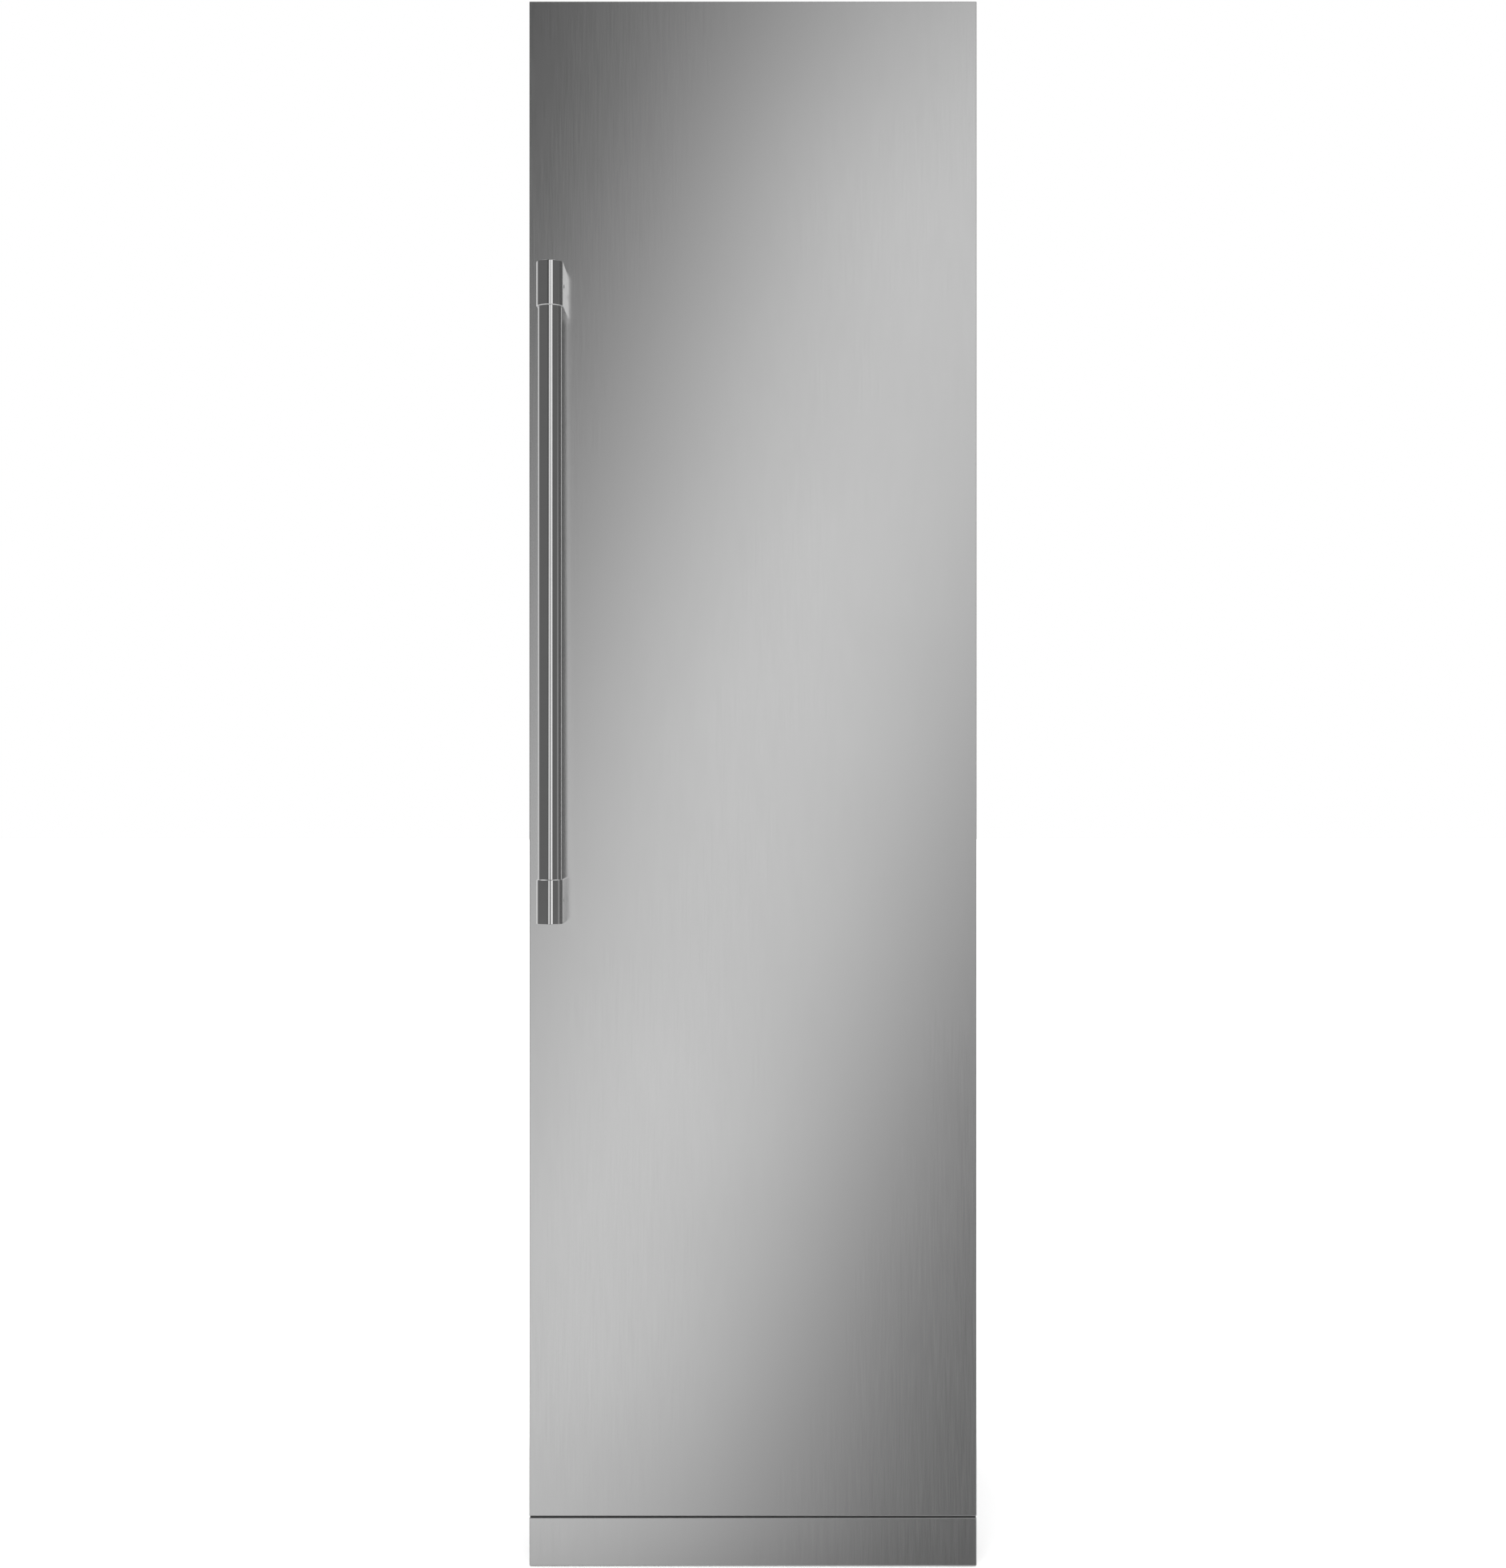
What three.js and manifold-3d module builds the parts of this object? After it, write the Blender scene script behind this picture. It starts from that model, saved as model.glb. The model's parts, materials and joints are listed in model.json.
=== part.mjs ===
// A full-height built-in column refrigerator, 24 inches wide and 84 inches tall, with one solid door.
//
// Millimetres, +Z up. The door faces -Y and is hinged at +X. The origin is on the floor, under the
// middle of the overall box, which runs from the handle's front to the cabinet's back.
import * as THREE from "three";
import { mergeVertices } from "three/addons/utils/BufferGeometryUtils.js";
import Module from "manifold-3d";

const wasm = await Module();
wasm.setup();

// Driving dimensions -----------------------------------------------------------------------------
const WIDTH = 609.6;
const HEIGHT = 2133.6;
const DEPTH = 610; // door face to cabinet back
const HANDLE_REACH = 65; // door face to handle front
const TOUCH = 0.3; // the gap kept between pieces that touch
const THROUGH = 1; // how far a cut runs past the piece that it cuts

const HALF_WIDTH = WIDTH / 2;
const FACE_Y = HANDLE_REACH - (DEPTH + HANDLE_REACH) / 2;
const BACK_Y = FACE_Y + DEPTH;

// Door, from its face back to the cabinet's front flange.
const DOOR_DEPTH = 82;
const PANEL_DEPTH = 19;
const PANEL_SHEET = 1.5;
const SEAM_Z = 67.75; // middle of the seam between door and toe kick
const SEAM_WIDTH = 2.5;
const TOE_KICK_BOTTOM = 1;
const GASKET_DEPTH = 9.1;
const FRONT_Y = FACE_Y + DOOR_DEPTH;
const CORE_FRONT_Y = FACE_Y + PANEL_DEPTH + TOUCH;
const CORE_BACK_Y = FRONT_Y - 12;
const CORE_HALF = 300.8;
const CORE_BOTTOM = 228;
const CORE_TOP = 2096;
const LINER_FLANGE = 2;
const LINER_FRONT_Y = CORE_BACK_Y + TOUCH;
const LINER_BACK_Y = LINER_FRONT_Y + LINER_FLANGE;

// Cabinet box.
const CABINET_HALF = 301.8;
const CABINET_TOP = 2100;
const PAN_BOTTOM = 28; // underside of the base frame
const DECK = 217; // underside of the insulated box
const SHEET = 1;
const LINER_SHEET = 1.5;
const CAVITY_HALF = 249.8;
const CAVITY_BOTTOM = 264;
const CAVITY_TOP = 2040;
const CAVITY_BACK_Y = BACK_Y - 50;
const CAVITY_CORNER = 14;
const DUCT_Y = CAVITY_BACK_Y - 51.5; // front of the air duct cover
const SHELF_FRONT_Y = FRONT_Y + 106;

// Two upright rails on the door stand into the cavity and carry the bins between them.
const DOOR_RAIL = { inner: 210, outer: 240, bottom: 276, top: 2028, backY: FRONT_Y + 25.5 };
const BIN_HALF = DOOR_RAIL.inner - 3;
const BIN_FRONT_Y = LINER_BACK_Y + 2.7;
const BIN_BACK_Y = FRONT_Y + 90.5;
const BIN_LEVELS = [700, 1050, 1400];
const DAIRY_LEVEL = 1740;
const DAIRY_HEIGHT = 98;

// Hinge line.
const HINGE_X = CABINET_HALF - 14;
const HINGE_Y = FRONT_Y - 37;
const HINGE_PLATE = 6;
const HINGE_NOSE = 13.5; // radius of the plates about the pin
const TOP_PLATE_Z = CABINET_TOP + TOUCH;
const BOTTOM_PLATE_Z = 213;
const PIN_RADIUS = 5;
const PIN_CLEARANCE = 0.6;
const PIN_DEPTH = 28; // how far each pin stands into the core
const BUSH_RADIUS = 8.5;
const BUSH_DEPTH = 30;

// Handle.
const HANDLE_X = -272.7;
const HANDLE_BOTTOM = 879;
const HANDLE_TOP = 1767;
const BAR_RADIUS = 15.9;
const END_RADIUS = 18;
const END_HEIGHT = 60;
const SOCKET_DEPTH = 12;

// Interior.
const SHELF_LEVELS = [1000, 1330, 1660];
const SHELF_HALF = 238;
const SHELF_BACK_Y = DUCT_Y - TOUCH;
const RAIL_FRONT_Y = SHELF_FRONT_Y + 17;
const RAIL_BACK_Y = DUCT_Y - 2;
const RAIL_BOTTOM = 280;
const RAIL_TOP = 650;
const DRAWERS = [
  { name: "lower", bottom: 268, top: 450 },
  { name: "upper", bottom: 456, top: 640 },
];
const LEDGE_DROP = 22; // a drawer's top down to the ledge under its rim
const TUB_HALF = 219;

// Machinery, which stands in the base frame.
const PAN_SHEET = 2;
const PAN_TOP = PAN_BOTTOM + PAN_SHEET + TOUCH;
const BASE_FRONT_Y = FRONT_Y + 1;
const COMPRESSOR = { x: -175, y: 205 };
const CONDENSER = { x: 110, y: -140, width: 270, depth: 48, height: 158 };
const CONDENSER_FAN = { x: 110, y: -112.6, size: 168, throat: 73, depth: 34, motor: 22, motorDepth: 34 };
const EVAPORATOR_FAN = { x: 0, y: DUCT_Y + 3.8, z: 1092 };
const INLET = { x: 200, z: 165 };

const FOOT_X = 268;
const FOOT_STEM_RADIUS = 6;
const FEET = [
  { name: "front_left", x: -FOOT_X, y: FRONT_Y + 45 },
  { name: "front_right", x: FOOT_X, y: FRONT_Y + 45 },
  { name: "rear_left", x: -FOOT_X, y: BACK_Y - 40 },
  { name: "rear_right", x: FOOT_X, y: BACK_Y - 40 },
];

// Materials ----------------------------------------------------------------------------------------
function finish(color, roughness, metalness, extra = {}) {
  return new THREE.MeshStandardMaterial({ color, roughness, metalness, ...extra });
}
const STAINLESS = finish(0xb4b4b4, 0.35, 1);
const POLISHED = finish(0xc8c8c8, 0.12, 1);
const GALVANISED = finish(0x9ea2a4, 0.45, 0.9);
const PAINTED = finish(0x6f7274, 0.5, 0.3);
const BLACK_STEEL = finish(0x1b1c1d, 0.5, 0.3);
const FOAM = finish(0xe6d9a8, 0.9, 0);
const WHITE_PLASTIC = finish(0xe9ebec, 0.45, 0);
const GREY_PLASTIC = finish(0x8b8f92, 0.5, 0);
const BLACK_PLASTIC = finish(0x202123, 0.5, 0);
const RUBBER = finish(0x9a9da0, 0.8, 0);
const CLEAR = finish(0xdfe8ea, 0.1, 0, { transparent: true, opacity: 0.35 });
const GLASS = finish(0xd6e6e2, 0.05, 0, { transparent: true, opacity: 0.35 });
const ALUMINIUM = finish(0xb9bcbe, 0.35, 0.9);
const COPPER = finish(0xb87450, 0.3, 0.9);
const LIGHT = finish(0xf6f8fa, 0.4, 0);

// Solids ---------------------------------------------------------------------------------------------
// A closed geometry as a solid that can be joined and cut.
function solidFrom(geometry) {
  const bare = geometry.index ? geometry.toNonIndexed() : geometry.clone();
  bare.deleteAttribute("normal");
  bare.deleteAttribute("uv");
  const merged = mergeVertices(bare, 1e-4);
  return new wasm.Manifold(
    new wasm.Mesh({
      numProp: 3,
      vertProperties: merged.attributes.position.array,
      triVerts: new Uint32Array(merged.index.array),
    }),
  );
}

function geometryFrom(solid) {
  const mesh = solid.getMesh();
  const geometry = new THREE.BufferGeometry();
  geometry.setAttribute("position", new THREE.BufferAttribute(mesh.vertProperties, 3));
  geometry.setIndex(new THREE.BufferAttribute(mesh.triVerts, 1));
  geometry.computeVertexNormals();
  return geometry;
}

function union(solids) {
  return solids.reduce((whole, next) => whole.add(next));
}

function cut(solid, tools) {
  return tools.reduce((left, tool) => left.subtract(tool), solid);
}

// A block between two opposite corners.
function block([x0, y0, z0], [x1, y1, z1]) {
  const geometry = new THREE.BoxGeometry(x1 - x0, y1 - y0, z1 - z0);
  geometry.translate((x0 + x1) / 2, (y0 + y1) / 2, (z0 + z1) / 2);
  return solidFrom(geometry);
}

// A block and its mirror image on the other side of the middle plane.
function pair([x0, y0, z0], [x1, y1, z1]) {
  return [block([x0, y0, z0], [x1, y1, z1]), block([-x1, y0, z0], [-x0, y1, z1])];
}

function roundedRectangle(x0, y0, x1, y1, radius) {
  const shape = new THREE.Shape();
  shape.moveTo(x0 + radius, y0);
  shape.lineTo(x1 - radius, y0);
  shape.absarc(x1 - radius, y0 + radius, radius, -Math.PI / 2, 0);
  shape.lineTo(x1, y1 - radius);
  shape.absarc(x1 - radius, y1 - radius, radius, 0, Math.PI / 2);
  shape.lineTo(x0 + radius, y1);
  shape.absarc(x0 + radius, y1 - radius, radius, Math.PI / 2, Math.PI);
  shape.lineTo(x0, y0 + radius);
  shape.absarc(x0 + radius, y0 + radius, radius, Math.PI, 1.5 * Math.PI);
  return shape;
}

function polygon(points) {
  return new THREE.Shape(points.map(([u, v]) => new THREE.Vector2(u, v)));
}

function extruded(shape, depth, curveSegments = 4) {
  return new THREE.ExtrudeGeometry(shape, { depth, bevelEnabled: false, curveSegments });
}

// A shape drawn in plan (x, y), standing from z0 to z1.
function standing(shape, z0, z1, curveSegments) {
  const geometry = extruded(shape, z1 - z0, curveSegments);
  geometry.translate(0, 0, z0);
  return solidFrom(geometry);
}

// A shape drawn in front view (x, z), running from y0 back to y1.
function facing(shape, y0, y1, curveSegments) {
  const geometry = extruded(shape, y1 - y0, curveSegments);
  geometry.rotateX(Math.PI / 2);
  geometry.translate(0, y1, 0);
  return solidFrom(geometry);
}

// A shape drawn in side view (y, z), running from x0 to x1.
function spanning(shape, x0, x1, curveSegments) {
  const geometry = extruded(shape, x1 - x0, curveSegments);
  const x = new THREE.Vector3(1, 0, 0);
  const y = new THREE.Vector3(0, 1, 0);
  const z = new THREE.Vector3(0, 0, 1);
  geometry.applyMatrix4(new THREE.Matrix4().makeBasis(y, z, x));
  geometry.translate(x0, 0, 0);
  return solidFrom(geometry);
}

// A round bar along Z, or along Y, from one end to the other.
function uprightBar(radius, x, y, z0, z1, sides = 24) {
  const geometry = new THREE.CylinderGeometry(radius, radius, z1 - z0, sides);
  geometry.rotateX(Math.PI / 2);
  geometry.translate(x, y, (z0 + z1) / 2);
  return solidFrom(geometry);
}

function levelBar(radius, x, y0, y1, z, sides = 24) {
  const geometry = new THREE.CylinderGeometry(radius, radius, y1 - y0, sides);
  geometry.translate(x, (y0 + y1) / 2, z);
  return solidFrom(geometry);
}

// A solid of revolution about Z, from [radius, z] points that start and end on the axis, lowest first.
function turned(points, sides) {
  const geometry = new THREE.LatheGeometry(points.map(([r, z]) => new THREE.Vector2(r, z)), sides);
  geometry.rotateX(Math.PI / 2);
  return solidFrom(geometry);
}

// A round tube along a smooth path through the given points.
function tube(points, radius, steps) {
  const path = new THREE.CatmullRomCurve3(points.map((p) => new THREE.Vector3(...p)));
  const section = new THREE.Shape();
  section.absarc(0, 0, radius, 0, 2 * Math.PI);
  const options = { steps, extrudePath: path, curveSegments: 4, bevelEnabled: false };
  return solidFrom(new THREE.ExtrudeGeometry(section, options));
}

// Cuts through a plate that faces -Y: a grid of slots about a middle point.
function slotGrid({ x, z, columns, rows, width, height, stepX, stepZ, y0, y1 }) {
  const slots = [];
  for (let column = 0; column < columns; column += 1) {
    for (let row = 0; row < rows; row += 1) {
      const middleX = x + (column - (columns - 1) / 2) * stepX;
      const middleZ = z + (row - (rows - 1) / 2) * stepZ;
      const low = [middleX - width / 2, y0 - THROUGH, middleZ - height / 2];
      const high = [middleX + width / 2, y1 + THROUGH, middleZ + height / 2];
      slots.push(block(low, high));
    }
  }
  return slots;
}

// Scene graph ------------------------------------------------------------------------------------------
const refrigerator = new THREE.Group();
const cabinet = new THREE.Group();
const door = new THREE.Group();
refrigerator.add(cabinet, door);

function place(group, name, solid, material, position = [0, 0, 0]) {
  const mesh = new THREE.Mesh(geometryFrom(solid), material.clone());
  mesh.name = name;
  mesh.position.set(...position);
  group.add(mesh);
}

// Cabinet ------------------------------------------------------------------------------------------------
// Sheet-metal wrapper round the insulation, with a front flange for the gasket round the open cavity.
function outerShell() {
  const openHalf = CAVITY_HALF + LINER_SHEET + TOUCH;
  const openBottom = CAVITY_BOTTOM - LINER_SHEET - TOUCH;
  const openTop = CAVITY_TOP + LINER_SHEET + TOUCH;
  const inner = CABINET_HALF - SHEET;
  const weld = inner + SHEET / 2;
  const flange = cut(
    block([-CABINET_HALF, FRONT_Y, DECK], [CABINET_HALF, FRONT_Y + SHEET, CABINET_TOP]),
    [block([-openHalf, FRONT_Y - THROUGH, openBottom], [openHalf, FRONT_Y + SHEET + THROUGH, openTop])],
  );
  return union([
    flange,
    ...pair([inner, FRONT_Y, DECK], [CABINET_HALF, BACK_Y, CABINET_TOP]),
    block([-weld, FRONT_Y, CABINET_TOP - SHEET], [weld, BACK_Y, CABINET_TOP]),
    block([-weld, FRONT_Y, DECK], [weld, BACK_Y, DECK + SHEET]),
    block([-weld, BACK_Y - SHEET, DECK], [weld, BACK_Y, CABINET_TOP]),
  ]);
}

// The cavity as a solid, grown on every side but the open front.
function cavitySolid(grow, frontY) {
  const shape = roundedRectangle(
    -CAVITY_HALF - grow,
    CAVITY_BOTTOM - grow,
    CAVITY_HALF + grow,
    CAVITY_TOP + grow,
    CAVITY_CORNER + grow,
  );
  return facing(shape, frontY, CAVITY_BACK_Y + grow);
}

function insulationFoam() {
  const skin = SHEET + TOUCH;
  const body = block(
    [-CABINET_HALF + skin, FRONT_Y + skin, DECK + skin],
    [CABINET_HALF - skin, BACK_Y - skin, CABINET_TOP - skin],
  );
  return body.subtract(cavitySolid(LINER_SHEET + TOUCH, FRONT_Y - THROUGH));
}

function innerLiner() {
  return cavitySolid(LINER_SHEET, FRONT_Y).subtract(cavitySolid(0, FRONT_Y - THROUGH));
}

// Open-topped frame that carries the machinery, with a window in its front and in its back.
function baseFrame() {
  const half = CABINET_HALF;
  const front = BASE_FRONT_Y;
  const back = BACK_Y - 3;
  const top = DECK - TOUCH;
  const frontFace = front + PAN_SHEET;
  const backFace = back - PAN_SHEET;
  const windowHalf = half - 30;
  const windowTop = top - 10;
  const outer = block([-half, front, PAN_BOTTOM], [half, back, top]);
  const hollow = block(
    [-half + PAN_SHEET, frontFace, PAN_BOTTOM + PAN_SHEET],
    [half - PAN_SHEET, backFace, top + THROUGH],
  );
  const windows = [
    block([-windowHalf, front - THROUGH, 40], [windowHalf, frontFace + THROUGH, windowTop]),
    block([-windowHalf, backFace - THROUGH, 36], [windowHalf, back + THROUGH, windowTop]),
  ];
  const holes = FEET.map(({ x, y }) =>
    uprightBar(FOOT_STEM_RADIUS + 0.6, x, y, PAN_BOTTOM - THROUGH, PAN_BOTTOM + PAN_SHEET + THROUGH, 16),
  );
  return cut(outer, [hollow, ...windows, ...holes]);
}

function machineFrontGrille() {
  const y0 = FRONT_Y - 0.8;
  const y1 = FRONT_Y + 0.7;
  const plate = block([-258, y0, 38], [258, y1, 212]);
  const grid = { x: 0, z: 125, columns: 4, rows: 9, width: 108, height: 6, stepX: 122, stepZ: 16 };
  return cut(plate, slotGrid({ ...grid, y0, y1 }));
}

const INLET_HALF_WIDTH = 24.6;
const INLET_HALF_HEIGHT = 17.6;

function rearServiceCover() {
  const y0 = BACK_Y - 2.6;
  const y1 = BACK_Y - 1.4;
  const plate = block([-298, y0, 32.5], [298, y1, 216]);
  const grid = { x: -60, z: 125, columns: 5, rows: 8, width: 70, height: 6, stepX: 84, stepZ: 16 };
  const reachX = INLET_HALF_WIDTH + 0.4;
  const reachZ = INLET_HALF_HEIGHT + 0.4;
  const inletHole = block(
    [INLET.x - reachX, y0 - THROUGH, INLET.z - reachZ],
    [INLET.x + reachX, y1 + THROUGH, INLET.z + reachZ],
  );
  return cut(plate, [...slotGrid({ ...grid, y0, y1 }), inletHole]);
}

// Appliance inlet: a shell with a recessed socket that faces the back, and three blades in it.
function powerInlet() {
  const mouth = BACK_Y - 0.4;
  const body = block(
    [-INLET_HALF_WIDTH, mouth - 30, -INLET_HALF_HEIGHT],
    [INLET_HALF_WIDTH, mouth, INLET_HALF_HEIGHT],
  );
  const floor = mouth - 18;
  const socket = block([-14, floor, -9], [14, mouth + THROUGH, 9]);
  const blades = [-7, 0, 7].map((x) => block([x - 1, floor - 1, -2.5], [x + 1, mouth - 5, 2.5]));
  return union([body.subtract(socket), ...blades]);
}

// Folded sheet pan, open at the back: the door's face and the toe kick are both made this way.
function foldedPan(z0, z1) {
  const outer = block([-HALF_WIDTH, FACE_Y, z0], [HALF_WIDTH, FACE_Y + PANEL_DEPTH, z1]);
  const hollow = block(
    [-HALF_WIDTH + PANEL_SHEET, FACE_Y + PANEL_SHEET, z0 + PANEL_SHEET],
    [HALF_WIDTH - PANEL_SHEET, FACE_Y + PANEL_DEPTH + THROUGH, z1 - PANEL_SHEET],
  );
  return outer.subtract(hollow);
}

// Bracket that holds the toe kick out in front of the base frame.
function toeKickBracket() {
  const front = FACE_Y + PANEL_SHEET + TOUCH;
  const back = BASE_FRONT_Y - TOUCH;
  const half = 274;
  const sheet = 2;
  const top = 58;
  return union([
    block([-half, front, 8], [half, front + sheet, top]),
    block([-half, front, top - sheet], [half, front + 12, top]),
    ...pair([half - 12, front, 29], [half, back, 54]),
  ]);
}

// Levelling foot: a pad on a threaded stem that passes through the base frame.
function levellingFoot() {
  const profile = [
    [0, 0],
    [22, 0],
    [24, 2],
    [24, 8],
    [17, 13],
    [11, 15],
    [11, 20],
    [FOOT_STEM_RADIUS, 20],
    [FOOT_STEM_RADIUS, 62],
    [0, 62],
  ];
  return turned(profile, 16);
}

// Machinery ------------------------------------------------------------------------------------------------
// Hermetic compressor: a welded can with a domed top, on a foot plate with four grommets.
function compressor() {
  const can = [
    [0, 44],
    [66, 44],
    [80, 58],
    [84, 74],
    [84, 104],
    [86, 106],
    [86, 112],
    [84, 114],
    [84, 146],
    [76, 172],
    [58, 190],
    [30, 199],
    [0, 201],
  ];
  const plate = standing(roundedRectangle(-108, -78, 108, 78, 16), 41, 45);
  const terminalBox = block([-22, -98, 90], [22, -76, 136]);
  const grommets = [-92, 92].flatMap((x) => [-62, 62].map((y) => uprightBar(9, x, y, PAN_TOP, 42, 12)));
  return union([turned(can, 28), plate, terminalBox, ...grommets]);
}

// Tube-and-fin coil: the fins as one block between two end plates, with the tubes' bends outside them.
function coil({ width, height, y0, y1, plateY0, plateY1, bends, bendStep, bendDepth, bendReach }) {
  const half = width / 2;
  const margin = 4;
  const plate = 3;
  const middleY = (y0 + y1) / 2;
  const pieces = [
    block([-half + plate, y0, margin], [half - plate, y1, height - margin]),
    ...pair([half - plate, plateY0, 0], [half, plateY1, height]),
  ];
  for (let row = 0; row < bends; row += 1) {
    const z = height / 2 + (row - (bends - 1) / 2) * bendStep;
    const low = [half - 1, middleY - bendDepth / 2, z - 4];
    const high = [half + bendReach, middleY + bendDepth / 2, z + 4];
    pieces.push(...pair(low, high));
  }
  return union(pieces);
}

function condenserCoil() {
  const { width, depth, height } = CONDENSER;
  return coil({
    width: width - 6,
    height,
    y0: -depth / 2,
    y1: depth / 2,
    plateY0: -depth / 2 - 3,
    plateY1: depth / 2 + 3,
    bends: 5,
    bendStep: 28,
    bendDepth: 30,
    bendReach: 11,
  });
}

function evaporatorCoil() {
  const y0 = DUCT_Y + 6;
  const y1 = CAVITY_BACK_Y - 4;
  return coil({
    width: 385,
    height: 180,
    y0,
    y1,
    plateY0: y0 - 1,
    plateY1: CAVITY_BACK_Y - TOUCH,
    bends: 5,
    bendStep: 32,
    bendDepth: 24,
    bendReach: 10,
  });
}

// Fan housing: a square plate with a round throat, and a motor held on crossed struts behind it.
function fanShroud({ size, throat, depth, motor, motorDepth }) {
  const half = size / 2;
  const strut = 8;
  const strutY = depth - 3;
  const reach = half - 6;
  const plate = facing(roundedRectangle(-half, -half, half, half, 10), 0, depth);
  return union([
    plate.subtract(levelBar(throat, 0, -THROUGH, depth + THROUGH, 0, 36)),
    block([-reach, strutY, -strut / 2], [reach, depth, strut / 2]),
    block([-strut / 2, strutY, -reach], [strut / 2, depth, reach]),
    levelBar(motor, 0, strutY, strutY + motorDepth, 0, 24),
  ]);
}

// Axial fan about the Y axis: a hub with curved blades that widen towards their tips.
function fanBlade({ hub, tip, depth, blades, pitch }) {
  const chord = tip * 0.56;
  const span = tip - hub + 3;
  const sheet = 1.8;
  const camber = 2.2;
  const pieces = [levelBar(hub, 0, 0, depth, 0, 24)];
  for (let i = 0; i < blades; i += 1) {
    const geometry = new THREE.BoxGeometry(chord, sheet, span, 4, 1, 2);
    const position = geometry.attributes.position;
    for (let v = 0; v < position.count; v += 1) {
      const across = position.getX(v) / (chord / 2);
      const out = position.getZ(v) / span + 0.5;
      const rounding = across * across;
      position.setX(v, position.getX(v) * (0.62 + 0.38 * out));
      position.setY(v, position.getY(v) + camber * (1 - rounding));
      position.setZ(v, position.getZ(v) - rounding * (2 + 7 * out));
    }
    geometry.rotateZ(pitch);
    geometry.translate(0, depth / 2 - 1, (tip + hub - 3) / 2);
    geometry.rotateY((i * 2 * Math.PI) / blades);
    pieces.push(solidFrom(geometry));
  }
  return union(pieces);
}

function drainTray() {
  const wall = 2.5;
  const [x0, y0, z0] = [-20, 70, PAN_TOP];
  const [x1, y1, z1] = [230, 290, 62];
  const hollow = block([x0 + wall, y0 + wall, z0 + wall], [x1 - wall, y1 - wall, z1 + THROUGH]);
  return block([x0, y0, z0], [x1, y1, z1]).subtract(hollow);
}

// Control box with a groove round it where the lid meets the body.
function controlBox() {
  const [x0, y0] = [-252, -170];
  const [x1, y1] = [-96, -62];
  const groove = { z0: 104, z1: 106.5, depth: 2 };
  const around = block([x0 - THROUGH, y0 - THROUGH, groove.z0], [x1 + THROUGH, y1 + THROUGH, groove.z1]);
  const kept = block(
    [x0 + groove.depth, y0 + groove.depth, groove.z0 - THROUGH],
    [x1 - groove.depth, y1 - groove.depth, groove.z1 + THROUGH],
  );
  return block([x0, y0, PAN_TOP], [x1, y1, 120]).subtract(around.subtract(kept));
}

// Refrigerant line from the compressor round to the condenser's left end.
function dischargeLine() {
  const { x, y } = COMPRESSOR;
  const points = [
    [x + 60, y - 66, 128],
    [x + 78, y - 96, 128],
    [x + 80, y - 160, 132],
    [x + 78, 0, 158],
    [-70, -60, 158],
    [-52, -120, 152],
    [-42, CONDENSER.y, 151.3],
    [-22.5, CONDENSER.y, 151.3],
  ];
  return tube(points, 3.2, 26);
}

// Interior -------------------------------------------------------------------------------------------------
// Flat panel in front of the evaporator: return slots over the drawers, outlet slots over each shelf.
function airDuctCover() {
  const half = CAVITY_HALF - 2;
  const bottom = CAVITY_BOTTOM + 3;
  const top = CAVITY_TOP - 3;
  const y1 = DUCT_Y + 1.5;
  const panel = facing(roundedRectangle(-half, bottom, half, top, CAVITY_CORNER), DUCT_Y, y1);
  const grid = { x: 0, columns: 4, rows: 2, width: 52, height: 5, stepX: 62, stepZ: 14 };
  const slots = [700, 870, 1210, 1540, 1880].flatMap((z) => slotGrid({ ...grid, z, y0: DUCT_Y, y1 }));
  return cut(panel, slots);
}

// Control panel under the cavity's ceiling, with a sloped face.
function controlPanel() {
  const front = FRONT_Y + 38;
  const top = CAVITY_TOP - TOUCH;
  const half = CAVITY_HALF - 16;
  const profile = [
    [front, top - 26],
    [front + 12, top - 42],
    [front + 112, top - 42],
    [front + 128, top],
    [front, top],
  ];
  return spanning(polygon(profile), -half, half);
}

function lightStrip() {
  return facing(roundedRectangle(-3, -655, 3, 655, 2.9), 0, 16, 3);
}

// Cantilever shelf frame: two tapered sides, ledges, a front trim and a rear bar. z = 0 is under the glass.
const SHELF_SIDE = 2.5;
const SHELF_TRIM = 9;
const SHELF_REAR_BAR = { inset: 10, sheet: 2, bottom: -12 };

function shelfFrame() {
  const y0 = SHELF_FRONT_Y + 4;
  const rim = 7;
  const ledge = 8;
  const inner = SHELF_HALF - SHELF_SIDE;
  const barY = SHELF_BACK_Y - SHELF_REAR_BAR.inset;
  const side = polygon([
    [y0, -8],
    [SHELF_BACK_Y, -34],
    [SHELF_BACK_Y, rim],
    [y0, rim],
  ]);
  const trim = roundedRectangle(SHELF_FRONT_Y, -9, SHELF_FRONT_Y + SHELF_TRIM, 8, 3.5);
  return union([
    spanning(side, inner, SHELF_HALF),
    spanning(side, -SHELF_HALF, -inner),
    spanning(trim, -SHELF_HALF, SHELF_HALF, 3),
    ...pair([inner - ledge, y0, -2], [inner + 0.5, SHELF_BACK_Y, -TOUCH]),
    block([-SHELF_HALF, barY, SHELF_REAR_BAR.bottom], [SHELF_HALF, barY + SHELF_REAR_BAR.sheet, rim]),
  ]);
}

function shelfGlass() {
  const half = SHELF_HALF - SHELF_SIDE - TOUCH;
  const front = SHELF_FRONT_Y + SHELF_TRIM + TOUCH;
  const back = SHELF_BACK_Y - SHELF_REAR_BAR.inset - TOUCH;
  return block([-half, front, 0], [half, back, 5]);
}

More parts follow.
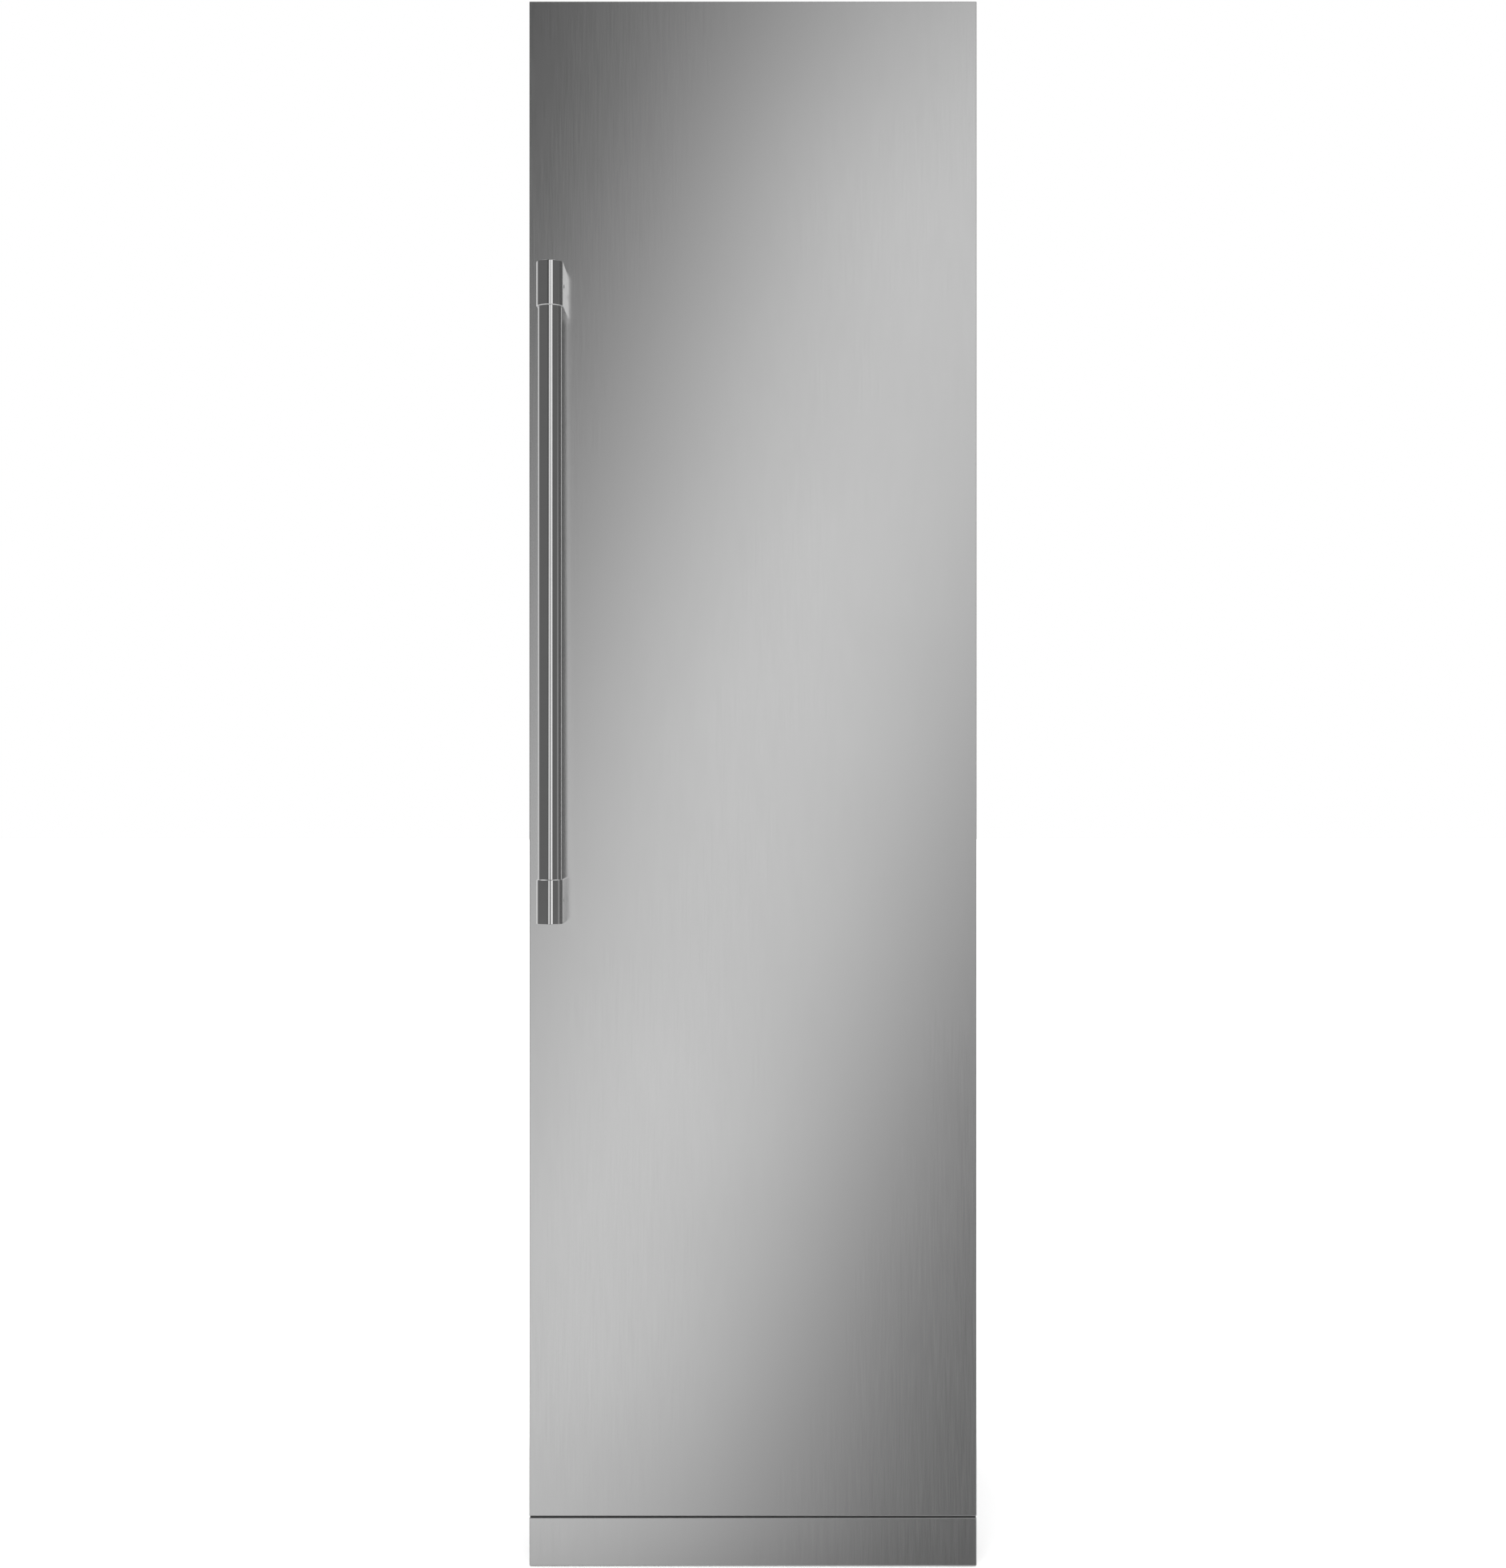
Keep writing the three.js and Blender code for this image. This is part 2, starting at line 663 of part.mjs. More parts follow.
// Side support with one ledge for each drawer and a flat top for the crisper cover.
function drawerRail(side) {
  const wall = CAVITY_HALF - TOUCH;
  const web = 9;
  const ledgeInner = 225;
  const ledgeSheet = 7;
  const pieces = [block([wall - web, RAIL_FRONT_Y, RAIL_BOTTOM], [wall, RAIL_BACK_Y, RAIL_TOP - TOUCH])];
  for (const { top } of DRAWERS) {
    const z = top - LEDGE_DROP;
    pieces.push(block([ledgeInner, RAIL_FRONT_Y, z - ledgeSheet], [wall - web + 1, RAIL_BACK_Y, z]));
  }
  const rail = union(pieces);
  return side > 0 ? rail : rail.mirror([1, 0, 0]);
}

function crisperCover() {
  const half = CAVITY_HALF - 3;
  return block([-half, SHELF_FRONT_Y + 2, RAIL_TOP], [half, RAIL_BACK_Y, RAIL_TOP + 5]);
}

// Drawer tub, z from the drawer's bottom. Its rims ride on the rails' ledges.
const FRONT_SHEET = 12;

function drawerTub(height) {
  const wall = 3;
  const bottom = 5;
  const top = height - 8;
  const corner = 14;
  const rimHalf = 236;
  const rimSheet = 4;
  const y0 = SHELF_FRONT_Y + FRONT_SHEET + TOUCH;
  const y1 = DUCT_Y - 14;
  const rim = height - LEDGE_DROP + TOUCH;
  const past = top + 30;
  const outer = facing(roundedRectangle(-TUB_HALF, bottom, TUB_HALF, past, corner), y0, y1);
  const inner = facing(
    roundedRectangle(-TUB_HALF + wall, bottom + wall, TUB_HALF - wall, past + wall, corner - wall),
    y0 + wall,
    y1 - wall,
  );
  const above = block([-rimHalf, y0 - THROUGH, top], [rimHalf, y1 + THROUGH, past + THROUGH]);
  const rims = pair([TUB_HALF - 1, y0, rim], [rimHalf, y1, rim + rimSheet]);
  return union([cut(outer, [inner, above]), ...rims]);
}

// Drawer front with a finger lip along its top, and a slot for the humidity slider where it has one.
const VENT = { half: 60, drop: 56, height: 12, depth: 5 };

function drawerFront(height, hasVent) {
  const y0 = SHELF_FRONT_Y;
  const half = 234;
  const lip = 8;
  const profile = [
    [y0 + FRONT_SHEET, 0],
    [y0 + FRONT_SHEET, height],
    [y0 - lip, height],
    [y0 - lip, height - 7],
    [y0 - 3, height - 12],
    [y0, height - 26],
    [y0, 0],
  ];
  const front = spanning(polygon(profile), -half, half);
  const middle = height - VENT.drop;
  const vent = block(
    [-VENT.half, y0 - THROUGH, middle - VENT.height / 2],
    [VENT.half, y0 + VENT.depth, middle + VENT.height / 2],
  );
  return hasVent ? front.subtract(vent) : front;
}

// Slider that fills the vent's height, with a knob in front.
function humiditySlider() {
  const half = VENT.height / 2 - 0.6;
  return union([block([-11, 0, -half], [11, 4.4, half]), block([-4, -4, -half], [4, 1, half])]);
}

// Door -----------------------------------------------------------------------------------------------------
// Foamed core, with a front that fills the panel's pan and so reaches above and below the core.
function doorCore() {
  const lining = PANEL_SHEET + TOUCH;
  const panBottom = SEAM_Z + SEAM_WIDTH / 2 + lining;
  const pocket = BUSH_RADIUS + 0.4;
  const pocketDepth = BUSH_DEPTH + 2;
  const body = union([
    block([-CORE_HALF, CORE_FRONT_Y - 1, CORE_BOTTOM], [CORE_HALF, CORE_BACK_Y, CORE_TOP]),
    block(
      [-HALF_WIDTH + lining, FACE_Y + lining, panBottom],
      [HALF_WIDTH - lining, CORE_FRONT_Y, HEIGHT - lining],
    ),
  ]);
  return cut(body, [
    uprightBar(pocket, HINGE_X, HINGE_Y, CORE_TOP - pocketDepth, CORE_TOP + THROUGH),
    uprightBar(pocket, HINGE_X, HINGE_Y, CORE_BOTTOM - THROUGH, CORE_BOTTOM + pocketDepth),
  ]);
}

// Flat inner door, which the gasket's edge and the rails are fixed to.
function doorLiner() {
  return block([-288, LINER_FRONT_Y, CORE_BOTTOM + 4.5], [288, LINER_BACK_Y, CORE_TOP - 6]);
}

// Upright rail with its two long edges chamfered. The bins hang between this one and its mirror image.
function doorRail(side) {
  const { inner, outer, bottom, top, backY } = DOOR_RAIL;
  const y0 = LINER_BACK_Y + TOUCH;
  const chamfer = 4;
  const section = polygon([
    [inner, y0],
    [outer, y0],
    [outer - 2, backY - chamfer],
    [outer - 2 - chamfer, backY],
    [inner + chamfer, backY],
    [inner, backY - chamfer],
  ]);
  const rail = standing(section, bottom, top);
  return side > 0 ? rail : rail.mirror([1, 0, 0]);
}

// Magnetic seal: a ring with a groove along its back, which makes two lips.
function doorGasket() {
  const y0 = LINER_BACK_Y + TOUCH;
  const y1 = y0 + GASKET_DEPTH;
  const outer = { half: 282, bottom: 236, top: 2072 };
  const width = 26;
  const lip = 10;
  const ring = (inset, ringWidth, from, to) => {
    const half = outer.half - inset;
    const bottom = outer.bottom + inset;
    const top = outer.top - inset;
    const hole = block(
      [-half + ringWidth, from - THROUGH, bottom + ringWidth],
      [half - ringWidth, to + THROUGH, top - ringWidth],
    );
    return block([-half, from, bottom], [half, to, top]).subtract(hole);
  };
  return ring(0, width, y0, y1).subtract(ring(lip, width - 2 * lip, y1 - 4, y1 + THROUGH));
}

function handleBar() {
  const inset = END_HEIGHT - SOCKET_DEPTH;
  return uprightBar(BAR_RADIUS, 0, 0, HANDLE_BOTTOM + inset, HANDLE_TOP - inset, 40);
}

// Handle end: round in front, with flat sides back to the door, and a socket for the bar in one end.
function handleEnd(z0, socketUp) {
  const z1 = z0 + END_HEIGHT;
  const reach = HANDLE_REACH - END_RADIUS - TOUCH;
  const depth = SOCKET_DEPTH + 0.5;
  const shape = new THREE.Shape();
  shape.moveTo(END_RADIUS, 0);
  shape.lineTo(END_RADIUS, reach);
  shape.lineTo(-END_RADIUS, reach);
  shape.lineTo(-END_RADIUS, 0);
  shape.absarc(0, 0, END_RADIUS, Math.PI, 2 * Math.PI);
  const [socket0, socket1] = socketUp ? [z1 - depth, z1 + THROUGH] : [z0 - THROUGH, z0 + depth];
  return standing(shape, z0, z1, 24).subtract(uprightBar(BAR_RADIUS + TOUCH, 0, 0, socket0, socket1, 40));
}

// Open bin, z from its own bottom. The wall towards the cavity is lower than the ends.
function doorBin(half, endHeight, wallHeight) {
  const wall = 3;
  const outer = block([-half, BIN_FRONT_Y, 0], [half, BIN_BACK_Y, endHeight]);
  const inner = block(
    [-half + wall, BIN_FRONT_Y + wall, wall],
    [half - wall, BIN_BACK_Y - wall, endHeight + THROUGH],
  );
  const slope = polygon([
    [BIN_BACK_Y + THROUGH, wallHeight],
    [BIN_BACK_Y + THROUGH, endHeight + THROUGH],
    [BIN_BACK_Y - 50, endHeight + THROUGH],
    [BIN_BACK_Y - 30, wallHeight],
  ]);
  return cut(outer, [inner, spanning(slope, -half - THROUGH, half + THROUGH)]);
}

// Lid of the dairy bin, with its origin on its hinge line.
const LID_Y = BIN_FRONT_Y + 5;
const LID_Z = DAIRY_LEVEL + DAIRY_HEIGHT + 4.5;

function dairyLid() {
  const sheet = 3;
  const flap = 62;
  const corner = 4;
  const reach = BIN_BACK_Y + 4 - LID_Y;
  const profile = [
    [0, -sheet],
    [reach - sheet, -sheet],
    [reach - sheet, -flap],
    [reach, -flap],
    [reach, -corner],
    [reach - corner, 0],
    [0, 0],
  ];
  const knuckle = new THREE.CylinderGeometry(3.4, 3.4, 2 * BIN_HALF, 16);
  knuckle.rotateZ(Math.PI / 2);
  return union([spanning(polygon(profile), -BIN_HALF, BIN_HALF), solidFrom(knuckle)]);
}

// Hinges ---------------------------------------------------------------------------------------------------
// Plate in plan: round about the pin, straight along the cabinet's side, wider where it is bolted down.
function hingePlate(z, backY, leftX) {
  const shape = new THREE.Shape();
  shape.moveTo(HINGE_X + HINGE_NOSE, HINGE_Y);
  shape.lineTo(HINGE_X + HINGE_NOSE, backY);
  shape.lineTo(leftX, backY);
  shape.lineTo(leftX, Math.min(FRONT_Y + 12, backY - 0.5));
  shape.lineTo(HINGE_X - HINGE_NOSE, HINGE_Y + 12);
  shape.lineTo(HINGE_X - HINGE_NOSE, HINGE_Y);
  shape.absarc(HINGE_X, HINGE_Y, HINGE_NOSE, Math.PI, 2 * Math.PI);
  return standing(shape, z, z + HINGE_PLATE, 12);
}

function pinHole(plateZ) {
  return uprightBar(PIN_RADIUS + 0.4, HINGE_X, HINGE_Y, plateZ - THROUGH, plateZ + HINGE_PLATE + THROUGH);
}

function hingeBracketTop() {
  return hingePlate(TOP_PLATE_Z, FRONT_Y + 96, 210).subtract(pinHole(TOP_PLATE_Z));
}

// Lower bracket: the plate stands on a leg that is bolted to the base frame's post, with a rib between.
function hingeBracketBottom() {
  const plateBack = FRONT_Y - 1;
  const legBack = BASE_FRONT_Y - TOUCH;
  const left = 262;
  const legSheet = 5;
  const ribSheet = 4;
  const inPlate = BOTTOM_PLATE_Z + 1;
  const legFront = legBack - legSheet;
  const rib = polygon([
    [legFront + 1, inPlate],
    [legFront + 1, BOTTOM_PLATE_Z - 30],
    [HINGE_Y + 12, inPlate],
  ]);
  const pieces = [
    hingePlate(BOTTOM_PLATE_Z, plateBack, left),
    block([left, legFront, 120], [HINGE_X + HINGE_NOSE, legBack, inPlate]),
    spanning(rib, left, left + ribSheet),
  ];
  return union(pieces).subtract(pinHole(BOTTOM_PLATE_Z));
}

// Headed pin from the outer face of a plate to its tip inside the core.
function hingePin(headZ, tipZ) {
  const into = Math.sign(tipZ - headZ);
  const headHeight = 5;
  const z = [headZ - into, tipZ].sort((a, b) => a - b);
  const head = [headZ - into * headHeight, headZ].sort((a, b) => a - b);
  return union([
    uprightBar(PIN_RADIUS, HINGE_X, HINGE_Y, ...z),
    uprightBar(9, HINGE_X, HINGE_Y, ...head, 6),
  ]);
}

// Flanged nylon bush that turns on the pin: a sleeve in the core and a flange outside it.
function hingeBush(sleeve, flange) {
  const low = Math.min(...sleeve, ...flange) - THROUGH;
  const high = Math.max(...sleeve, ...flange) + THROUGH;
  const body = union([
    uprightBar(BUSH_RADIUS, HINGE_X, HINGE_Y, ...sleeve),
    uprightBar(11, HINGE_X, HINGE_Y, ...flange),
  ]);
  return body.subtract(uprightBar(PIN_RADIUS + PIN_CLEARANCE, HINGE_X, HINGE_Y, low, high));
}

// Assembly -------------------------------------------------------------------------------------------------
place(cabinet, "outer_shell", outerShell(), PAINTED);
place(cabinet, "insulation_foam", insulationFoam(), FOAM);
place(cabinet, "inner_liner", innerLiner(), STAINLESS);
place(cabinet, "base_frame", baseFrame(), GALVANISED);
place(cabinet, "machine_front_grille", machineFrontGrille(), BLACK_STEEL);
place(cabinet, "rear_service_cover", rearServiceCover(), GALVANISED);
place(cabinet, "power_inlet", powerInlet(), BLACK_PLASTIC, [INLET.x, 0, INLET.z]);
place(cabinet, "toe_kick_panel", foldedPan(TOE_KICK_BOTTOM, SEAM_Z - SEAM_WIDTH / 2), STAINLESS);
place(cabinet, "toe_kick_bracket", toeKickBracket(), GALVANISED);
for (const { name, x, y } of FEET) {
  place(cabinet, `levelling_foot_${name}`, levellingFoot(), GREY_PLASTIC, [x, y, 0]);
}

place(cabinet, "compressor", compressor(), BLACK_STEEL, [COMPRESSOR.x, COMPRESSOR.y, 0]);
place(cabinet, "condenser_coil", condenserCoil(), ALUMINIUM, [CONDENSER.x, CONDENSER.y, PAN_TOP]);
place(cabinet, "drain_tray", drainTray(), BLACK_PLASTIC);
place(cabinet, "control_box", controlBox(), GREY_PLASTIC);
place(cabinet, "discharge_line", dischargeLine(), COPPER);

const condenserFan = new THREE.Group();
condenserFan.position.set(CONDENSER_FAN.x, CONDENSER_FAN.y, PAN_TOP + CONDENSER_FAN.size / 2);
cabinet.add(condenserFan);
place(condenserFan, "condenser_fan_shroud", fanShroud(CONDENSER_FAN), BLACK_PLASTIC);
place(
  condenserFan,
  "condenser_fan_blade",
  fanBlade({ hub: 20, tip: 68, depth: 22, blades: 5, pitch: 0.45 }),
  GREY_PLASTIC,
  [0, 4, 0],
);

place(cabinet, "evaporator_coil", evaporatorCoil(), ALUMINIUM, [0, 0, 800]);
const evaporatorFan = new THREE.Group();
evaporatorFan.position.set(EVAPORATOR_FAN.x, EVAPORATOR_FAN.y, EVAPORATOR_FAN.z);
cabinet.add(evaporatorFan);
place(
  evaporatorFan,
  "evaporator_fan_blade",
  fanBlade({ hub: 17, tip: 58, depth: 17, blades: 5, pitch: 0.35 }),
  GREY_PLASTIC,
);

const STRIP_X = CAVITY_HALF - 3 - TOUCH;
const STRIP_Y = FRONT_Y + 38;
const STRIP_Z = 1332;
place(cabinet, "air_duct_cover", airDuctCover(), STAINLESS);
place(cabinet, "control_panel", controlPanel(), BLACK_PLASTIC);
place(cabinet, "light_strip_left", lightStrip(), LIGHT, [-STRIP_X, STRIP_Y, STRIP_Z]);
place(cabinet, "light_strip_right", lightStrip(), LIGHT, [STRIP_X, STRIP_Y, STRIP_Z]);
SHELF_LEVELS.forEach((z, i) => {
  place(cabinet, `shelf_frame_${i + 1}`, shelfFrame(), STAINLESS, [0, 0, z]);
  place(cabinet, `shelf_glass_${i + 1}`, shelfGlass(), GLASS, [0, 0, z]);
});
place(cabinet, "drawer_rail_left", drawerRail(-1), WHITE_PLASTIC);
place(cabinet, "drawer_rail_right", drawerRail(1), WHITE_PLASTIC);
place(cabinet, "crisper_cover", crisperCover(), GLASS);

for (const { name, bottom, top } of DRAWERS) {
  const drawer = new THREE.Group();
  drawer.position.z = bottom;
  cabinet.add(drawer);
  const height = top - bottom;
  const hasVent = name === "upper";
  place(drawer, `drawer_tub_${name}`, drawerTub(height), CLEAR);
  place(drawer, `drawer_front_${name}`, drawerFront(height, hasVent), CLEAR);
  if (hasVent) {
    const seat = [0, SHELF_FRONT_Y + TOUCH, height - VENT.drop];
    place(drawer, "humidity_slider", humiditySlider(), WHITE_PLASTIC, seat);
  }
}

const TOP_PLATE_FACE = TOP_PLATE_Z + HINGE_PLATE + TOUCH;
const BOTTOM_PLATE_FACE = BOTTOM_PLATE_Z - TOUCH;
const TOP_FLANGE = [CORE_TOP + TOUCH, CABINET_TOP - 0.1];
const BOTTOM_FLANGE = [BOTTOM_PLATE_Z + HINGE_PLATE + TOUCH, CORE_BOTTOM - TOUCH];
place(cabinet, "hinge_bracket_top", hingeBracketTop(), GALVANISED);
place(cabinet, "hinge_bracket_bottom", hingeBracketBottom(), GALVANISED);
place(cabinet, "hinge_pin_top", hingePin(TOP_PLATE_FACE, CORE_TOP - PIN_DEPTH), POLISHED);
place(cabinet, "hinge_pin_bottom", hingePin(BOTTOM_PLATE_FACE, CORE_BOTTOM + PIN_DEPTH), POLISHED);

place(door, "door_panel", foldedPan(SEAM_Z + SEAM_WIDTH / 2, HEIGHT), STAINLESS);
place(door, "door_core", doorCore(), GREY_PLASTIC);
place(door, "door_liner", doorLiner(), WHITE_PLASTIC);
place(door, "door_rail_left", doorRail(-1), WHITE_PLASTIC);
place(door, "door_rail_right", doorRail(1), WHITE_PLASTIC);
place(door, "door_gasket", doorGasket(), RUBBER);
place(door, "hinge_bush_top", hingeBush([CORE_TOP - BUSH_DEPTH, CORE_TOP + 2], TOP_FLANGE), WHITE_PLASTIC);
place(
  door,
  "hinge_bush_bottom",
  hingeBush([CORE_BOTTOM - 2, CORE_BOTTOM + BUSH_DEPTH], BOTTOM_FLANGE),
  WHITE_PLASTIC,
);

const handle = new THREE.Group();
handle.position.set(HANDLE_X, FACE_Y - HANDLE_REACH + END_RADIUS, 0);
door.add(handle);
place(handle, "handle_bar", handleBar(), POLISHED);
place(handle, "handle_end_top", handleEnd(HANDLE_TOP - END_HEIGHT, false), POLISHED);
place(handle, "handle_end_bottom", handleEnd(HANDLE_BOTTOM, true), POLISHED);

BIN_LEVELS.forEach((z, i) => {
  place(door, `door_bin_${i + 1}`, doorBin(BIN_HALF, 100, 74), CLEAR, [0, 0, z]);
});
place(door, "dairy_bin", doorBin(BIN_HALF - 4, DAIRY_HEIGHT, 72), CLEAR, [0, 0, DAIRY_LEVEL]);
place(door, "dairy_lid", dairyLid(), CLEAR, [0, LID_Y, LID_Z]);

export default refrigerator;
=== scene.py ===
"""Looks of the built-in column refrigerator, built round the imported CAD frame. Metres, +Z up, door at -Y."""
import json
import math

import bmesh
import bpy
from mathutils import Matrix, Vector


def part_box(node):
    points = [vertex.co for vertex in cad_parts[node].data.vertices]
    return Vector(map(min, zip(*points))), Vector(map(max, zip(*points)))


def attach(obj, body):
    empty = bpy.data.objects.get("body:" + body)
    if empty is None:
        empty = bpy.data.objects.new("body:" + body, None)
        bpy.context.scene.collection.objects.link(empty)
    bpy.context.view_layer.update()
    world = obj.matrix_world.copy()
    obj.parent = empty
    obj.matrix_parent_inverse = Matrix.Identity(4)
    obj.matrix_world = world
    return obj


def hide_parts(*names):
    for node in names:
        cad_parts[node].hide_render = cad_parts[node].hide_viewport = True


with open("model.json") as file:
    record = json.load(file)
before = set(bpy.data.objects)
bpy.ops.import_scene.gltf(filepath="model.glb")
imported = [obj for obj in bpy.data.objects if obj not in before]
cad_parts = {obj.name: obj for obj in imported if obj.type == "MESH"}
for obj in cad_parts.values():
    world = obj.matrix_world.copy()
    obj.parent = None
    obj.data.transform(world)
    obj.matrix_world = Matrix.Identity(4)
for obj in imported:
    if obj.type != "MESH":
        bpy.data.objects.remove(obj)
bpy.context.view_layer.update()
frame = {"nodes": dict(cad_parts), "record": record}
nodes = frame["nodes"]
scene = bpy.context.scene

MM = 0.001


# Node graphs --------------------------------------------------------------------------------------
class Graph:
    """A short way to write a node tree: each call adds a node and returns its first output."""

    def __init__(self, tree):
        self.tree = tree
        tree.nodes.clear()

    def node(self, kind, **settings):
        made = self.tree.nodes.new(kind)
        for name, value in settings.items():
            setattr(made, name, value)
        return made

    def feed(self, socket, value):
        if isinstance(value, bpy.types.NodeSocket):
            self.tree.links.new(value, socket)
        else:
            socket.default_value = value

    def math(self, operation, *values):
        made = self.node("ShaderNodeMath", operation=operation)
        for socket, value in zip(made.inputs, values):
            self.feed(socket, value)
        return made.outputs[0]

    def position(self):
        """The point in the row frame, in metres: every mesh's own coordinates are the frame's."""
        return self.node("ShaderNodeTexCoord").outputs["Object"]

    def stretched(self, vector, scale):
        made = self.node("ShaderNodeMapping")
        self.feed(made.inputs["Vector"], vector)
        made.inputs["Scale"].default_value = scale
        return made.outputs[0]

    def noise(self, vector, scale, detail=3.0, roughness=0.5):
        made = self.node("ShaderNodeTexNoise")
        self.feed(made.inputs["Vector"], vector)
        made.inputs["Scale"].default_value = scale
        made.inputs["Detail"].default_value = detail
        made.inputs["Roughness"].default_value = roughness
        return made.outputs["Fac"]

    def cells(self, vector, scale):
        """A random grey for each cell of a Voronoi pattern."""
        made = self.node("ShaderNodeTexVoronoi", feature="F1")
        self.feed(made.inputs["Vector"], vector)
        made.inputs["Scale"].default_value = scale
        split = self.node("ShaderNodeSeparateXYZ")
        self.feed(split.inputs[0], made.outputs["Color"])
        return split.outputs[0]

    def span(self, value, low, high, to_low, to_high, smooth=False):
        made = self.node("ShaderNodeMapRange")
        if smooth:
            made.interpolation_type = "SMOOTHSTEP"
        for socket, item in zip(made.inputs, (value, low, high, to_low, to_high)):
            self.feed(socket, item)
        return made.outputs[0]

    def blend(self, factor, low, high):
        made = self.node("ShaderNodeMix", data_type="RGBA")
        self.feed(made.inputs["Factor"], factor)
        for name, colour in (("A", low), ("B", high)):
            socket = [s for s in made.inputs if s.name == name and s.type == "RGBA"][0]
            self.feed(socket, colour)
        return [s for s in made.outputs if s.type == "RGBA"][0]

    def bump(self, height, distance, strength=1.0):
        made = self.node("ShaderNodeBump")
        self.feed(made.inputs["Height"], height)
        made.inputs["Distance"].default_value = distance
        made.inputs["Strength"].default_value = strength
        return made.outputs[0]


def grey(value):
    return (value, value, value, 1.0)


def greys(low, high):
    return (grey(low), grey(high))


# Stage: camera, world, lights, floor ----------------------------------------------------------------
face_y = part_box("door_panel")[0].y
top_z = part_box("door_panel")[1].z
CAMERA_DISTANCE = 3.05
PICTURE_HEIGHT = 2.1376  # what the picture's height takes in at the door's face
SENSOR = 36.0

camera_data = bpy.data.cameras.new("camera")
camera_data.sensor_width = SENSOR
camera_data.lens = SENSOR * CAMERA_DISTANCE / PICTURE_HEIGHT
camera = bpy.data.objects.new("camera", camera_data)
camera.location = (0, face_y - CAMERA_DISTANCE, top_z / 2)
camera.rotation_euler = (math.pi / 2, 0, 0)
scene.collection.objects.link(camera)
scene.camera = camera
scene.view_settings.view_transform = "Standard"

# Light that the object mirrors. A group of four says where a change starts and ends, and its value at each.
# Where the name has ACROSS or UP in it, the place is a slope seen from the door, and in the other groups it is
# one coordinate of the direction looked in.
BAND_LEAN = 2.94  # how many times taller than wide the band's slope is
BAND_PEAK = 0.885
BAND_CORE = 0.016
BAND_HALF_WIDTH = 0.194
BAND_DIMS_UP = (0.29, 0.46, 1.0, 0.45)
STRIP = 0.88  # a soft upright strip, ahead and to the right, that the handle mirrors
STRIP_BEGINS_ACROSS = (0.24, 0.30, 0.0, 1.0)
STRIP_ENDS_ACROSS = (0.50, 0.62, 1.0, 0.0)
STRIP_DIMS_UP = (0.22, 0.55, 1.0, 0.25)
ONLY_IN_FRONT = (-0.5, -0.2, 1.0, 0.0)
SURROUND = 0.064  # straight ahead of the door
SURROUND_ASIDE = (0.16, 0.32, SURROUND, 0.13)
SURROUND_FAR_RIGHT = (0.975, 0.995, 0.0, 0.14)
BEHIND = (0.35, 0.75, 0.0, 0.6)
ABOVE = (0.55, 0.85, 0.0, 0.8)
ABOVE_ASIDE = (0.1, 0.4, 0.15, 1.0)
BELOW_AT_THE_SIDES = (0.04, 0.34, 0.0, 0.42)
BELOW_ASIDE = (0.25, 0.45, 0.0, 1.0)
STRAIGHT_DOWN = (0.42, 0.75, 0.0, 0.5)
LEAST_AHEAD = 0.05  # keeps the slopes finite beside and behind the object


def make_world():
    """A studio: pale behind the object, dim grey in front of it, with one soft leaning band of light."""
    world = bpy.data.worlds.new("studio")
    world.use_nodes = True
    scene.world = world
    g = Graph(world.node_tree)

    def soft(value, limits):
        return g.span(value, *limits, smooth=True)

    split = g.node("ShaderNodeSeparateXYZ")
    g.feed(split.inputs[0], g.node("ShaderNodeTexCoord").outputs["Generated"])
    x, y, z = split.outputs
    ahead = g.math("MAXIMUM", g.math("MULTIPLY", y, -1.0), LEAST_AHEAD)
    across = g.math("DIVIDE", x, ahead)
    up = g.math("DIVIDE", z, ahead)
    steep = g.math("ABSOLUTE", up)
    aside = g.math("ABSOLUTE", x)
    down = g.math("MULTIPLY", z, -1.0)

    off_band = g.math("ABSOLUTE", g.math("SUBTRACT", across, g.math("DIVIDE", up, BAND_LEAN)))
    band = soft(off_band, (BAND_CORE, BAND_HALF_WIDTH, BAND_PEAK - SURROUND, 0.0))
    band = g.math("MULTIPLY", band, g.span(steep, *BAND_DIMS_UP))
    strip = g.math("MULTIPLY", soft(across, STRIP_BEGINS_ACROSS), soft(across, STRIP_ENDS_ACROSS))
    strip = g.math("MULTIPLY", g.math("MULTIPLY", strip, soft(steep, STRIP_DIMS_UP)), STRIP)
    light = g.math("MULTIPLY", g.math("ADD", band, strip), soft(y, ONLY_IN_FRONT))

    surround = g.math("ADD", soft(aside, SURROUND_ASIDE), g.span(x, *SURROUND_FAR_RIGHT))
    above = g.math("MULTIPLY", soft(z, ABOVE), g.span(aside, *ABOVE_ASIDE))
    below = g.math("MULTIPLY", soft(down, BELOW_AT_THE_SIDES), soft(aside, BELOW_ASIDE))
    total = light
    for other in (soft(y, BEHIND), above, below, soft(down, STRAIGHT_DOWN)):
        total = g.math("MAXIMUM", total, other)

    lit = g.node("ShaderNodeBackground")
    g.feed(lit.inputs["Color"], grey(1))
    g.feed(lit.inputs["Strength"], g.math("ADD", total, surround))
    backdrop = g.node("ShaderNodeBackground")
    g.feed(backdrop.inputs["Color"], grey(1))
    backdrop.inputs["Strength"].default_value = 1.0
    mix = g.node("ShaderNodeMixShader")
    g.feed(mix.inputs[0], g.node("ShaderNodeLightPath").outputs["Is Camera Ray"])
    g.feed(mix.inputs[1], lit.outputs[0])
    g.feed(mix.inputs[2], backdrop.outputs[0])
    g.feed(g.node("ShaderNodeOutputWorld").inputs[0], mix.outputs[0])


